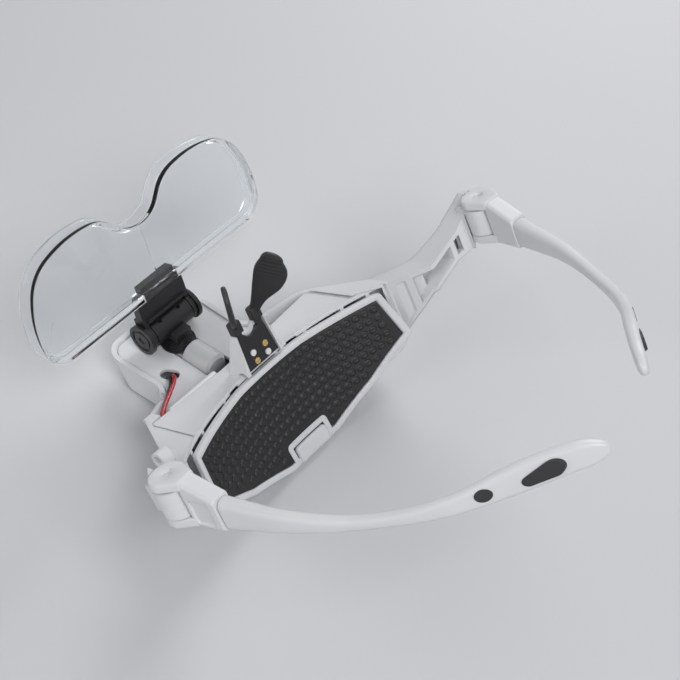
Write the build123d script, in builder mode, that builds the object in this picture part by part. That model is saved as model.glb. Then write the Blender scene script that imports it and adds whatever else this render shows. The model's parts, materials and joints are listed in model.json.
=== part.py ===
from build123d import *
import math
import os

os.makedirs("parts", exist_ok=True)

# Lighted magnifier glasses, in millimetres, lying upside down on their sloped top.
# +Z is up from the table, +X is the glasses' right-hand side seen from behind,
# and the lens looks along -Y. The origin is on the table, under the flat top.
# Most pieces follow the frame's own directions: across, back and towards the nose.

# Driving dimensions
lie_angle = 27
hinge_back = 51.2
hinge_height = 75.2
hinge_half = 80
wall = 2
floor_wall = 1.6
plate_thick = 1.6
part_gap = 0.3
fit_gap = 0.15
running_gap = 0.05
cut_over = 5
reach = 150

cos_lie = math.cos(math.radians(lie_angle))
sin_lie = math.sin(math.radians(lie_angle))
back_dir = Vector(0, cos_lie, sin_lie)
nose_dir = Vector(0, -sin_lie, cos_lie)
head = Plane(origin=(0, hinge_back, hinge_height), x_dir=(1, 0, 0), z_dir=nose_dir)


def level(height):
    """Plane across the frame, facing the nose, at a height from the hinge tops."""
    return head.offset(height)


def front_view(back):
    """Plane facing forward; its own y runs towards the nose."""
    return Plane(origin=head.from_local_coords((0, back, 0)), x_dir=(1, 0, 0), z_dir=-back_dir)


def worn_side(across):
    """Plane facing +X; its own x runs back and its own y towards the nose."""
    return Plane(origin=head.from_local_coords((across, 0, 0)), x_dir=back_dir, z_dir=(1, 0, 0))


def upright(across):
    """Plane facing +X at a place across; its own x runs back along the table, its y up."""
    return Plane(origin=(across, 0, 0), x_dir=(0, 1, 0), z_dir=(1, 0, 0))


def finish(piece, name):
    """Label a finished piece and write its file."""
    piece.part.label = name
    export_step(piece.part, "parts/" + name + ".step")


# Outer shell: lamp housing in front, shoulders and wings out to the hinges
housing_front = 115.4
housing_half = 22.6
housing_rim = 12.5
housing_corner = 7.5
neck_half = 21.8
neck_back = 88.7
neck_round = 5
shoulder_half = 41.8
shoulder_back = 73
shoulder_round = 6.5
wing_in = 16
wing_half = hinge_half - wing_in
wing_back = 28.9
wing_round = 64
end_out = 4.3
end_half = hinge_half + end_out
end_back = 4.3
tail_in = 25.1
tail_half = hinge_half - tail_in
tail_back = 35.2
channel_in = 17.1
channel_half = hinge_half - channel_in
channel_back = 18.1
channel_end_in = 4.8
channel_end_half = hinge_half - channel_end_in
mouth_depth = 9.6
knuckle_centre = -8
knuckle_height = 17.1
knuckle_radius = 6.4
knuckle_gap = 0.4
lug_height = 10
lug_bar = 8
pin_radius = 1.5
wing_nose_end = knuckle_centre + knuckle_height / 2
wing_table_end = knuckle_centre - knuckle_height / 2
end_wall_back = knuckle_radius + knuckle_gap + wall

# Rim and table side of the shell, seen from the front: across, then towards the nose
rim_neck_half = 25
rim_neck = -27.7
rim_shoulder_half = 42.7
rim_shoulder = -22.9
rim_wing_in = 24.5
rim_wing_half = hinge_half - rim_wing_in
rim_wing = -24
rim_bend_in = 16
rim_bend_half = hinge_half - rim_bend_in
rim_bend = -19.7
rim_rise_in = 7.5
rim_rise_half = hinge_half - rim_rise_in
rim_rise = -10.7
arch_mid_half = 12.8
arch_mid = -63.5
arch_side_in = 26.7
arch_side_half = hinge_half - arch_side_in
arch_side = -50
arch_wing_in = 18.1
arch_wing_half = hinge_half - arch_wing_in
arch_wing = -32
arch_rise_in = 9.6
arch_rise_half = hinge_half - arch_rise_in
arch_rise = -22.4

shell_front_points = [
    (0, -housing_front),
    (housing_half, -housing_front),
    (neck_half, -neck_back),
    (shoulder_half, -shoulder_back),
    (wing_half, -wing_back),
    (end_half, -end_back),
]
shell_front_rounds = [housing_corner, neck_round, shoulder_round, wing_round]
shell_back_points = [
    (end_half, -end_back),
    (end_half, 0),
    (channel_end_half, 0),
    (channel_end_half, -knuckle_radius),
    (channel_half, -channel_back),
    (tail_half, -tail_back),
    (0, -tail_back),
]


# The rim steps down at the neck, but the brow stands above it as far as the shoulders
neck_rim = [(0, 0), (rim_neck_half, 0), (rim_neck_half, rim_neck)]
brow_rim = [(0, 0), (rim_shoulder_half, 0)]


def shell_profile(inset, inner_rim):
    """Closed half of the shell's front view, drawn in by an inset."""
    rim = inner_rim + [
        (rim_shoulder_half, rim_shoulder),
        (rim_wing_half, rim_wing - inset),
        (rim_bend_half, rim_bend - inset),
        (rim_rise_half, rim_rise - inset),
        (hinge_half, wing_nose_end - inset),
        (end_half + wall, wing_nose_end - inset),
    ]
    arch = [
        (end_half + wall, wing_table_end + inset),
        (hinge_half, wing_table_end + inset),
        (arch_rise_half, arch_rise + inset),
        (arch_wing_half, arch_wing + inset),
        (arch_side_half, arch_side + inset),
        (arch_mid_half, arch_mid + inset),
        (0, arch_mid + inset),
    ]
    return rim + arch


def shell_form(inset, floor, inner_rim):
    """The shell's outer form, or the same form drawn in for its inside and what fits there."""
    with BuildPart() as form:
        with BuildSketch(level(-reach)):
            with BuildLine():
                FilletPolyline(*shell_front_points, radius=shell_front_rounds)
                Polyline(*shell_back_points)
                mirror(about=Plane.YZ)
            make_face()
            if inset > 0:
                offset(amount=-inset, kind=Kind.TANGENT)
                with Locations((0, -end_wall_back / 2)):
                    Rectangle(2 * reach, end_wall_back, mode=Mode.SUBTRACT)
                with Locations((0, -tail_back)):
                    Rectangle(2 * (tail_half - inset), 2 * mouth_depth)
                with BuildLine():
                    Polyline(
                        (tail_half - inset, -tail_back - inset),
                        (channel_half + inset, -channel_back - inset),
                        (channel_end_half, -end_wall_back),
                        (channel_half, -end_wall_back),
                        (tail_half - inset, -channel_back),
                        close=True,
                    )
                make_face()
                mirror(about=Plane.YZ)
        extrude(amount=reach + knuckle_height)
        with BuildSketch(front_view(0)):
            with BuildLine():
                Polyline(*shell_profile(inset, inner_rim), close=True)
            make_face()
            mirror(about=Plane.YZ)
        extrude(amount=reach, both=True, mode=Mode.INTERSECT)
        with BuildSketch(Plane.XY.offset(floor)):
            Rectangle(2 * reach, 2 * reach)
        extrude(amount=reach, mode=Mode.INTERSECT)
    return form.part


# Battery cover: a six-sided plate, curved round the forehead and leaning forward
cover_radius = 97.6
cover_back = 49
cover_level = -24.5
cover_lean = 9
cover_thick = 3
cover_gap = 0.6
cover_rim = 2.3
pad_depth = 1.6
cover_top_half = 16
cover_shoulder_in = 30.2
cover_shoulder_half = hinge_half - cover_shoulder_in
cover_shoulder_drop = 2.7
cover_side_in = 26.7
cover_side_half = hinge_half - cover_side_in
cover_side_drop = 23
cover_low_half = 34
cover_low_drop = 32.4
cover_tip_half = 12.8
cover_tip_drop = 38.8
latch_half = 8
latch_height = 6.4
cover_lug_half = 15.7
cover_lug_wide = 4.3
cover_lug_radius = 0.9

bay_angle = lie_angle + cover_lean
bay_nose_dir = Vector(0, -math.sin(math.radians(bay_angle)), math.cos(math.radians(bay_angle)))
bay_origin = head.from_local_coords((0, -cover_back, cover_level))
bay_top = Plane(origin=bay_origin, x_dir=(1, 0, 0), z_dir=bay_nose_dir)
bay_front = Plane(origin=bay_origin, x_dir=(1, 0, 0), z_dir=-bay_top.y_dir)
cover_points = [
    (0, 0),
    (cover_top_half, 0),
    (cover_shoulder_half, -cover_shoulder_drop),
    (cover_side_half, -cover_side_drop),
    (cover_low_half, -cover_low_drop),
    (cover_tip_half, -cover_tip_drop),
    (0, -cover_tip_drop),
]


def cover_layer(rear, front, half):
    """A curved layer between two depths ahead of the cover's visible face."""
    with BuildPart() as layer:
        with BuildSketch(bay_top):
            with Locations((0, cover_radius)):
                Circle(cover_radius + front)
                Circle(cover_radius + rear, mode=Mode.SUBTRACT)
            Rectangle(2 * half, 2 * cover_side_half, mode=Mode.INTERSECT)
        extrude(amount=reach, both=True)
    return layer.part


def cover_slice(rear, front, inset):
    """The same layer, cut to the cover's six-sided outline drawn in by an inset."""
    with BuildPart() as piece:
        add(cover_layer(rear, front, cover_side_half))
        with BuildSketch(bay_front):
            with BuildLine():
                Polyline(*cover_points)
                mirror(about=Plane.YZ)
            make_face()
            if inset > 0:
                offset(amount=-inset, kind=Kind.INTERSECTION)
        extrude(amount=reach, both=True, mode=Mode.INTERSECT)
    return piece.part


def latch_block(margin, rear, front):
    """The latch's outline with a margin round it, through a layer of the cover."""
    with BuildPart() as block:
        add(cover_layer(rear, front, cover_side_half))
        with BuildSketch(bay_front):
            with Locations((0, -cover_tip_drop)):
                Rectangle(2 * (latch_half + margin), 2 * (latch_height + margin))
        extrude(amount=reach, both=True, mode=Mode.INTERSECT)
    return block.part


with BuildPart() as pad_space:
    add(cover_slice(-cut_over, pad_depth, cover_rim))
    add(latch_block(part_gap + cover_rim, -2 * cut_over, 2 * cut_over), mode=Mode.SUBTRACT)

# Two half-round lugs on the cover's top edge turn in slots of the brow plate
with BuildPart() as battery_cover:
    add(cover_slice(0, cover_thick, 0))
    add(pad_space.part, mode=Mode.SUBTRACT)
    add(latch_block(part_gap, -cut_over, cover_thick + cut_over), mode=Mode.SUBTRACT)
    for side in (1, -1):
        lug_origin = bay_top.from_local_coords((side * cover_lug_half, 0, 0))
        with BuildSketch(Plane(origin=lug_origin, x_dir=bay_top.y_dir, z_dir=(1, 0, 0))):
            with Locations((-cover_thick, -cover_lug_radius)):
                Circle(cover_lug_radius)
            with Locations((-cover_thick / 2 - cover_lug_radius, -cover_lug_radius)):
                Rectangle(cover_thick - cover_lug_radius, 2 * cover_lug_radius)
        extrude(amount=cover_lug_wide / 2, both=True)
finish(battery_cover, "battery_cover")

with BuildPart() as foam_pad:
    add(cover_slice(0, pad_depth - fit_gap, cover_rim + fit_gap))
    add(latch_block(part_gap + cover_rim + fit_gap, -cut_over, cover_thick), mode=Mode.SUBTRACT)
finish(foam_pad, "foam_pad")

latch_tongue_top = 1.2
with BuildPart() as cover_latch:
    with BuildSketch(bay_front):
        with Locations((0, -cover_tip_drop + latch_height / 2)):
            Rectangle(2 * latch_half, latch_height)
    extrude(amount=reach, both=True)
    add(cover_layer(-latch_tongue_top, cover_thick - fit_gap, latch_half), mode=Mode.INTERSECT)
finish(cover_latch, "cover_latch")

# Clip tab over the leads, an eyelet on one shoulder, and a switch slot in front
rib_thick = 1.4
rib_ins = [21.3, 9.6]
tab_across = 39.2
tab_wide = 4.3
tab_thick = 1.8
tab_level = -23.2
tab_back = 69.4
tab_front = 74.6
eyelet_radius = 3.4
eyelet_bore = 2.3
eyelet_wide = 4.6
eyelet_wall_share = 0.78
eyelet_middle = shoulder_half + eyelet_wall_share * (wing_half - shoulder_half)
eyelet_across = eyelet_middle - eyelet_wide / 2
eyelet_back = shoulder_back - eyelet_wall_share * (shoulder_back - wing_back)
rim_slope_share = (eyelet_across + eyelet_wide - rim_wing_half) / (rim_bend_half - rim_wing_half)
eyelet_level = rim_wing + rim_slope_share * (rim_bend - rim_wing) + eyelet_bore
switch_level = -22.5
switch_wide = 3.6
switch_tall = 3.2
switch_travel = 1.5
switch_proud = 0.9
switch_flange = 1.2

with BuildPart() as shell_inside:
    add(shell_form(wall, floor_wall, neck_rim))
    with BuildSketch(level(-reach)):
        for rib_in in rib_ins:
            place = hinge_half - rib_in
            with Locations((place, -channel_back), (-place, -channel_back)):
                Rectangle(rib_thick, 2 * channel_back)
    extrude(amount=reach + knuckle_height, mode=Mode.SUBTRACT)

with BuildPart() as outer_shell:
    add(shell_form(0, 0, neck_rim))
    add(shell_inside.part, mode=Mode.SUBTRACT)
    add(
        cover_layer(-cover_side_half, cover_thick + cover_gap, cover_side_half + cover_gap),
        mode=Mode.SUBTRACT,
    )
    with BuildSketch(Plane.XY.offset(housing_rim)):
        with Locations((0, -reach / 2 - rim_neck_half / 2)):
            Rectangle(reach, reach)
    extrude(amount=reach, mode=Mode.SUBTRACT)
    # Clip tab, from the shoulder's front wall back over the leads
    with BuildSketch(level(tab_level)):
        with Locations((tab_across, -(tab_back + tab_front) / 2)):
            Rectangle(tab_wide, tab_front - tab_back)
    extrude(amount=-tab_thick)
    # Eyelet for a neck cord, on the rim of the same shoulder
    with BuildSketch(worn_side(eyelet_across)):
        with Locations((-eyelet_back, eyelet_level)):
            Circle(eyelet_radius)
    extrude(amount=eyelet_wide)
    with BuildSketch(worn_side(eyelet_across)):
        with Locations((-eyelet_back, eyelet_level)):
            Circle(eyelet_bore)
    extrude(amount=eyelet_wide, mode=Mode.SUBTRACT)
    for side in (1, -1):
        # Room for the arm's ears, and the lug that the hinge pin passes through
        with BuildSketch(level(wing_nose_end + cut_over)):
            with Locations((side * hinge_half, 0)):
                Circle(knuckle_radius + knuckle_gap)
            with Locations((side * hinge_half, knuckle_radius)):
                Rectangle(4 * knuckle_radius, 2 * knuckle_radius)
        extrude(amount=-knuckle_height - 2 * cut_over, mode=Mode.SUBTRACT)
        with BuildSketch(level(knuckle_centre - lug_height / 2)):
            with Locations((side * hinge_half, 0)):
                Circle(knuckle_radius)
            with Locations((side * hinge_half, -end_wall_back / 2)):
                Rectangle(lug_bar, end_wall_back)
        extrude(amount=lug_height)
        with BuildSketch(level(knuckle_centre - lug_height / 2)):
            with Locations((side * hinge_half, 0)):
                Circle(pin_radius)
        extrude(amount=lug_height, mode=Mode.SUBTRACT)
    with BuildSketch(front_view(-housing_front)):
        with Locations((0, switch_level)):
            Rectangle(switch_wide + 2 * switch_travel + 2 * part_gap, switch_tall + 2 * part_gap)
    extrude(amount=wall + cut_over, both=True, mode=Mode.SUBTRACT)
finish(outer_shell, "outer_shell")

# Slide switch in the front wall, and its body behind it
switch_body_wide = 9.6
switch_body_tall = 4
switch_body_deep = 2
switch_plane = front_view(-housing_front + wall + part_gap)
with BuildPart() as power_switch:
    with BuildSketch(switch_plane):
        with Locations((0, switch_level)):
            Rectangle(switch_wide, switch_tall)
    extrude(amount=wall + part_gap + switch_proud)
    with BuildSketch(switch_plane):
        with Locations((0, switch_level)):
            Rectangle(switch_wide + 2 * part_gap, switch_tall + 4 * part_gap)
    extrude(amount=-switch_flange)
finish(power_switch, "power_switch")

with BuildPart() as switch_body:
    with BuildSketch(switch_plane.offset(-switch_flange - part_gap)):
        with Locations((0, switch_level)):
            Rectangle(switch_body_wide, switch_body_tall)
    extrude(amount=-switch_body_deep)
    with BuildSketch(switch_plane.offset(-switch_flange - part_gap)):
        with Locations((-switch_body_wide / 2, switch_level), (switch_body_wide / 2, switch_level)):
            Rectangle(2 * fit_gap + plate_thick, switch_body_tall)
    extrude(amount=switch_flange + part_gap - fit_gap)
finish(switch_body, "switch_body")

# Battery cells: two end to end in the upper row, following the curve, and one below
cell_radius = 5.1
cell_length = 44.5
cell_nub_radius = 2.7
cell_nub = 1
cell_angle = 13
cell_ahead = 9.4
cell_upper_drop = 7.2
cell_lower_drop = 18
cell_clear = 0.25
contact_thick = 0.5
contact_wide = 7.4
contact_seat = 0.2
upper_cell_across = 23.8
upper_cell_ahead = 6.6
cell_places = {
    "cell_far": (-upper_cell_across, -upper_cell_ahead, -cell_upper_drop, -cell_angle),
    "cell_near": (upper_cell_across, -upper_cell_ahead, -cell_upper_drop, cell_angle),
    "cell_lower": (0, -cell_ahead, -cell_lower_drop, 0),
}


def cell_plane(place, along):
    """Plane across a cell, a distance along it from its middle."""
    across, back, nose, turn = place
    middle = bay_top.from_local_coords((across, back, nose))
    run = Vector(math.cos(math.radians(turn)), 0, 0) + bay_top.y_dir * math.sin(math.radians(turn))
    return Plane(origin=middle + run * along, x_dir=bay_top.z_dir, z_dir=run)


for name, place in cell_places.items():
    with BuildPart() as cell:
        with BuildSketch(cell_plane(place, -cell_length / 2)):
            Circle(cell_radius)
        extrude(amount=cell_length - cell_nub)
        with BuildSketch(cell_plane(place, cell_length / 2 - cell_nub)):
            Circle(cell_nub_radius)
        extrude(amount=cell_nub)
    finish(cell, name)

contact_places = {
    "contact_far": (cell_places["cell_far"], -1),
    "contact_near": (cell_places["cell_near"], 1),
    "contact_lower_far": (cell_places["cell_lower"], -1),
    "contact_lower_near": (cell_places["cell_lower"], 1),
}
for name, (place, end) in contact_places.items():
    start = end * (cell_length / 2 + contact_seat)
    with BuildPart() as contact:
        with BuildSketch(cell_plane(place, start)):
            Rectangle(contact_wide, contact_wide)
        extrude(amount=end * contact_thick)
    finish(contact, name)

# Nose plate on the pylon, its two screws and two locating pins
nose_plate_thick = 1.5
nose_plate_back = 49.1
nose_plate_low = -22.4
nose_plate_low_half = 7.7
nose_plate_high = -9.2
nose_plate_high_half = 6.3
prong_in = 3.8
prong_out = 6.2
prong_top = -3.4
scoop_radius = 3.6
screw_radius = 1.2
screw_shank = 0.7
screw_proud = 0.6
screw_depth = 3
slot_wide = 0.4
upper_fix_across = 3.1
upper_fix = -16.9
lower_fix_across = 2.9
lower_fix = -20.5
fix_places = {
    "nose_pin_near": (upper_fix_across, upper_fix, 0),
    "nose_screw_far": (-upper_fix_across, upper_fix, slot_wide),
    "nose_screw_near": (lower_fix_across, lower_fix, slot_wide),
    "nose_pin_far": (-lower_fix_across, lower_fix, 0),
}

with BuildPart() as nose_plate:
    with BuildSketch(front_view(-nose_plate_back)):
        with BuildLine():
            Polyline(
                (-nose_plate_low_half, nose_plate_low),
                (nose_plate_low_half, nose_plate_low),
                (nose_plate_high_half, nose_plate_high),
                (-nose_plate_high_half, nose_plate_high),
                close=True,
            )
        make_face()
        with Locations((0, nose_plate_high + scoop_radius / 2)):
            Circle(scoop_radius, mode=Mode.SUBTRACT)
        for side in (1, -1):
            with Locations((side * (prong_in + prong_out) / 2, (nose_plate_high - wall + prong_top) / 2)):
                Rectangle(prong_out - prong_in, prong_top - nose_plate_high + wall)
    extrude(amount=nose_plate_thick)
    with BuildSketch(front_view(-nose_plate_back)):
        for across, height, slot in fix_places.values():
            with Locations((across, height)):
                Circle(screw_shank)
    extrude(amount=nose_plate_thick, mode=Mode.SUBTRACT)
finish(nose_plate, "nose_plate")

for name, (across, height, slot) in fix_places.items():
    with BuildPart() as fixing:
        with BuildSketch(front_view(-nose_plate_back)):
            with Locations((across, height)):
                Circle(screw_radius)
        extrude(amount=-screw_proud)
        with BuildSketch(front_view(-nose_plate_back)):
            with Locations((across, height)):
                Circle(screw_shank)
        extrude(amount=screw_depth)
        if slot > 0:
            with BuildSketch(front_view(-nose_plate_back + screw_proud)):
                with Locations((across, height)):
                    Rectangle(2 * screw_radius, slot)
                    Rectangle(slot, 2 * screw_radius)
            extrude(amount=screw_proud / 2, mode=Mode.SUBTRACT)
    finish(fixing, name)

# Inner frame: deck under the lamp, brow plate, ridge wall, cell ribs and pylon
deck_top = 11.7
brow_top = -23.5
ridge_back = 65.9
ridge_half = 42.7
brow_in = 24
brow_half = hinge_half - brow_in
ridge_front = 68.8
deck_slot_half = 5.8
deck_slot_front = 33.1
deck_slot_back = 4.3
hole_across = 14.4
hole_back = 18.4
hole_length = 7.5
hole_wide = 4.9
hole_angle = -60
cell_ribs = [8, 22, 38, 48]
bar_radius = 2.1
bar_end = 33
pylon_half = 9.6
pylon_top_half = 7
pylon_top = -7.5
pylon_back = 48.4
pylon_top_deep = 3.6
pylon_front = 59.7
saddle_radius = 3.2
tube_radius = 5.5
tube_centre = 10.5
tube_front = 20.5
tube_back = 7.5
tube_taper = 1.3
tube_end_radius = 4.5
mount_half = 4.9
mount_front = 30.9
mount_low = 5.9
turn_back = 27.7
turn_bore = 2.1
frame_inset = wall + fit_gap

with BuildPart() as deck:
    with BuildSketch(Plane.XY.offset(deck_top)):
        Rectangle(2 * housing_front, 2 * housing_front)
        with Locations((0, -(deck_slot_front + deck_slot_back) / 2)):
            Rectangle(2 * deck_slot_half, deck_slot_front - deck_slot_back, mode=Mode.SUBTRACT)
        with Locations(Location((hole_across, -hole_back), hole_angle)):
            SlotOverall(hole_length, hole_wide, mode=Mode.SUBTRACT)
    extrude(amount=-plate_thick)
    with BuildSketch(level(-reach)):
        with Locations((0, -ridge_back - reach / 2)):
            Rectangle(2 * reach, reach)
    extrude(amount=reach, mode=Mode.INTERSECT)

ridge_line = [
    (-brow_half, -ridge_back),
    (-ridge_half, -ridge_front),
    (-pylon_half, -ridge_back),
    (pylon_half, -ridge_back),
    (ridge_half, -ridge_front),
    (brow_half, -ridge_back),
]
ridge_inner = [(across, back + plate_thick) for across, back in reversed(ridge_line)]
with BuildPart() as brow:
    # Brow plate, and the ridge wall in front of the cells
    with BuildSketch(level(brow_top)):
        with BuildLine():
            Polyline(*ridge_line, (brow_half, 0), (-brow_half, 0), close=True)
        make_face()
    extrude(amount=-plate_thick)
    with BuildSketch(level(brow_top)):
        with BuildLine():
            Polyline(*ridge_line, *ridge_inner, close=True)
        make_face()
    extrude(amount=-reach)
    # Rounded bar along the ridge, on the side that the leads run on
    with BuildSketch(worn_side(pylon_half)):
        with Locations((-ridge_front, brow_top - bar_radius)):
            Circle(bar_radius)
    extrude(amount=bar_end - pylon_half)
    # Ribs that cradle the cells
    with BuildSketch(level(brow_top)):
        for place in cell_ribs:
            with Locations((place, -ridge_back / 2), (-place, -ridge_back / 2)):
                Rectangle(rib_thick, ridge_back)
    extrude(amount=-reach)

with BuildPart() as cell_space:
    for place in cell_places.values():
        with BuildSketch(cell_plane(place, -cell_length / 2 - cut_over / 4)):
            Circle(cell_radius + cell_clear)
        extrude(amount=cell_length + cut_over / 2)

with BuildPart() as pylon:
    with BuildSketch(worn_side(0)):
        with BuildLine():
            Polyline(
                (-pylon_front, brow_top),
                (-pylon_back, brow_top),
                (-pylon_back, pylon_top),
                (-pylon_back - pylon_top_deep, pylon_top),
                close=True,
            )
        make_face()
    extrude(amount=pylon_half, both=True)
    with BuildSketch(front_view(0)):
        with BuildLine():
            Polyline(
                (-pylon_half, brow_top),
                (pylon_half, brow_top),
                (pylon_top_half, pylon_top),
                (-pylon_top_half, pylon_top),
                close=True,
            )
        make_face()
        with Locations((0, pylon_top)):
            Circle(saddle_radius, mode=Mode.SUBTRACT)
    extrude(amount=reach, both=True, mode=Mode.INTERSECT)
    # Recess for the nose plate, and room for the battery cover's top edge to turn
    with BuildSketch(front_view(-nose_plate_back - nose_plate_thick - part_gap)):
        with BuildLine():
            Polyline(
                (-nose_plate_low_half - part_gap, nose_plate_low - cut_over),
                (nose_plate_low_half + part_gap, nose_plate_low - cut_over),
                (nose_plate_low_half + part_gap, nose_plate_low),
                (nose_plate_high_half + part_gap, nose_plate_high + cut_over),
                (-nose_plate_high_half - part_gap, nose_plate_high + cut_over),
                (-nose_plate_low_half - part_gap, nose_plate_low),
                close=True,
            )
        make_face()
    extrude(amount=-cut_over, mode=Mode.SUBTRACT)
    with BuildSketch(Plane(origin=bay_origin, x_dir=bay_top.y_dir, z_dir=(1, 0, 0))):
        with Locations((-cover_thick, -cover_lug_radius)):
            Circle(cover_thick + cover_gap)
    extrude(amount=reach, both=True, mode=Mode.SUBTRACT)
    with BuildSketch(front_view(-nose_plate_back)):
        for across, height, slot in fix_places.values():
            with Locations((across, height)):
                Circle(screw_shank + running_gap)
    extrude(amount=screw_depth + fit_gap, mode=Mode.SUBTRACT)

with BuildPart() as inner_frame:
    add(shell_form(frame_inset, floor_wall + fit_gap, brow_rim))
    with BuildPart(mode=Mode.PRIVATE) as plates:
        add(deck.part)
        add(brow.part)
    add(plates.part, mode=Mode.INTERSECT)
    add(cell_space.part, mode=Mode.SUBTRACT)
    add(
        cover_layer(-cover_side_half, cover_thick + cover_gap, cover_side_half + cover_gap),
        mode=Mode.SUBTRACT,
    )
    add(pylon.part)
    for side in (1, -1):
        lug_origin = bay_top.from_local_coords((side * cover_lug_half, 0, 0))
        with BuildSketch(Plane(origin=lug_origin, x_dir=bay_top.y_dir, z_dir=(1, 0, 0))):
            with Locations((-cover_thick, -cover_lug_radius)):
                Circle(cover_lug_radius + cover_gap)
        extrude(amount=cover_lug_wide / 2 + part_gap, both=True, mode=Mode.SUBTRACT)
finish(inner_frame, "inner_frame")

# Nose pads: flared leaves with a stem that grips each prong
pad_stem_in = 2.8
pad_stem_out = 7.3
pad_stem_low = -7
pad_stem_high = -2.1
pad_stem_deep = 3.8
pad_flare = 7.5
pad_sweep = 16.5
pad_rise = 25
pad_face_in = 0.8
pad_face_back = -0.59
pad_face_up = 0.15
pad_thick = 2.6
pad_root = 1.6
pad_belly_start = 6.4
pad_belly = 7.9
pad_belly_end = 20.8
pad_length = 27.2
pad_back_edge = 3.6
pad_tip = 4.3


def across_head(across, back, nose):
    """A direction given across, back and towards the nose."""
    return Vector(across, 0, 0) + back_dir * back + nose_dir * nose


for side, name in ((1, "nose_pad_near"), (-1, "nose_pad_far")):
    stem_middle = side * (pad_stem_in + pad_stem_out) / 2
    stem_back = -nose_plate_back - nose_plate_thick / 2
    leaf_plane = Plane(
        origin=head.from_local_coords((stem_middle, stem_back, (pad_stem_low + pad_stem_high) / 2)),
        x_dir=across_head(side * pad_flare, pad_sweep, pad_rise),
        z_dir=across_head(side * pad_face_in, pad_face_back, pad_face_up),
    )
    with BuildPart() as nose_pad:
        with BuildSketch(leaf_plane.offset(-pad_thick / 2)):
            with BuildLine():
                Spline(
                    (0, -side * pad_root),
                    (pad_belly_start, -side * pad_root * 2),
                    ((pad_belly_start + pad_belly_end) / 2, -side * pad_belly),
                    (pad_belly_end, -side * pad_belly),
                    (pad_length - pad_tip / 4, -side * pad_tip / 2),
                    (pad_length - pad_tip / 4, side * pad_tip / 4),
                    (pad_belly_end, side * pad_back_edge),
                    (pad_belly_start, side * pad_root * 1.5),
                    (0, side * pad_root),
                )
                Line((0, side * pad_root), (0, -side * pad_root))
            make_face()
        extrude(amount=pad_thick)
        with BuildSketch(level(pad_stem_low)):
            with Locations((stem_middle, stem_back)):
                Rectangle(pad_stem_out - pad_stem_in, pad_stem_deep)
        extrude(amount=pad_stem_high - pad_stem_low)
        with BuildSketch(level(pad_stem_low - cut_over)):
            with Locations((side * (prong_in + prong_out) / 2, stem_back)):
                Rectangle(prong_out - prong_in + 2 * fit_gap, nose_plate_thick + 2 * fit_gap)
        extrude(amount=prong_top - pad_stem_low + cut_over + fit_gap, mode=Mode.SUBTRACT)
    finish(nose_pad, name)

# Support tube, with a flat seat in front for the turntable
with BuildPart() as support_tube:
    with BuildSketch(upright(0)):
        with BuildLine():
            Polyline(
                (-tube_front, tube_centre),
                (-tube_front, tube_centre + tube_radius),
                (-tube_back - tube_taper, tube_centre + tube_radius),
                (-tube_back, tube_centre + tube_end_radius),
                (-tube_back, tube_centre),
                close=True,
            )
        make_face()
    revolve(axis=Axis((0, 0, tube_centre), (0, 1, 0)))
    with BuildSketch(Plane.XY.offset(mount_low)):
        with Locations((0, -(mount_front + tube_front - wall) / 2)):
            Rectangle(2 * mount_half, mount_front - tube_front + wall)
        with Locations((0, -turn_back)):
            Circle(turn_bore + running_gap, mode=Mode.SUBTRACT)
    extrude(amount=deck_top - part_gap - mount_low)
finish(support_tube, "support_tube")

# Ribbed turntable, and the lamp barrel that it carries
barrel_back = 33
barrel_height = 19.4
barrel_radius = 5.5
barrel_half = 9.4
turn_radius = 6.9
turn_steps = 5
turn_step = 0.7
turn_step_in = 0.6
turn_neck_half = 3.8
turn_low = deck_top + part_gap
cap_shaft = 1.6
cap_shaft_in = 6
cap_radius = 6.4
cap_thick = 1.6
cap_ring_out = 4.9
cap_ring_in = 3.8
cap_ring_deep = 0.4
clip_half = 11.6
clip_arm = 1.8
led_across = 4.3
led_radius = 1.6
led_seat = 3.6
led_proud = 0.7
mark_across = 4.9
mark_wide = 1.6
mark_deep = 1

with BuildPart() as swivel_base:
    for step in range(turn_steps):
        with BuildSketch(Plane.XY.offset(turn_low + step * turn_step)):
            with Locations((0, -turn_back)):
                Circle(turn_radius - step * turn_step_in)
        extrude(amount=turn_step)
    with BuildSketch(Plane.XY.offset(turn_low)):
        with Locations((0, -(turn_back + barrel_back) / 2)):
            Rectangle(2 * turn_neck_half, barrel_back - turn_back + 2 * turn_neck_half)
    extrude(amount=barrel_height - turn_low)
    with BuildSketch(upright(-barrel_half)):
        with Locations((-barrel_back, barrel_height)):
            Circle(barrel_radius + running_gap)
    extrude(amount=2 * barrel_half, mode=Mode.SUBTRACT)
    with BuildSketch(Plane.XY.offset(mount_low)):
        with Locations((0, -turn_back)):
            Circle(turn_bore)
    extrude(amount=turn_low - mount_low)
finish(swivel_base, "swivel_base")

with BuildPart() as lamp_barrel:
    with BuildSketch(upright(-barrel_half)):
        with Locations((-barrel_back, barrel_height)):
            Circle(barrel_radius)
    extrude(amount=2 * barrel_half)
    for start in (-barrel_half, cap_shaft_in - fit_gap):
        with BuildSketch(upright(start)):
            with Locations((-barrel_back, barrel_height)):
                Circle(cap_shaft + running_gap)
        extrude(amount=barrel_half - cap_shaft_in + fit_gap, mode=Mode.SUBTRACT)
    for side in (1, -1):
        with BuildSketch(
            Plane(
                origin=(side * led_across, -barrel_back - led_seat, barrel_height),
                x_dir=(1, 0, 0),
                z_dir=(0, -1, 0),
            )
        ):
            Circle(led_radius + fit_gap)
        extrude(amount=barrel_radius, mode=Mode.SUBTRACT)
        with BuildSketch(Plane.XY.offset(barrel_height + barrel_radius - mark_deep)):
            with Locations((side * mark_across, -barrel_back + mark_wide)):
                Rectangle(mark_wide, mark_wide)
        extrude(amount=barrel_radius, mode=Mode.SUBTRACT)
finish(lamp_barrel, "lamp_barrel")

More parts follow.
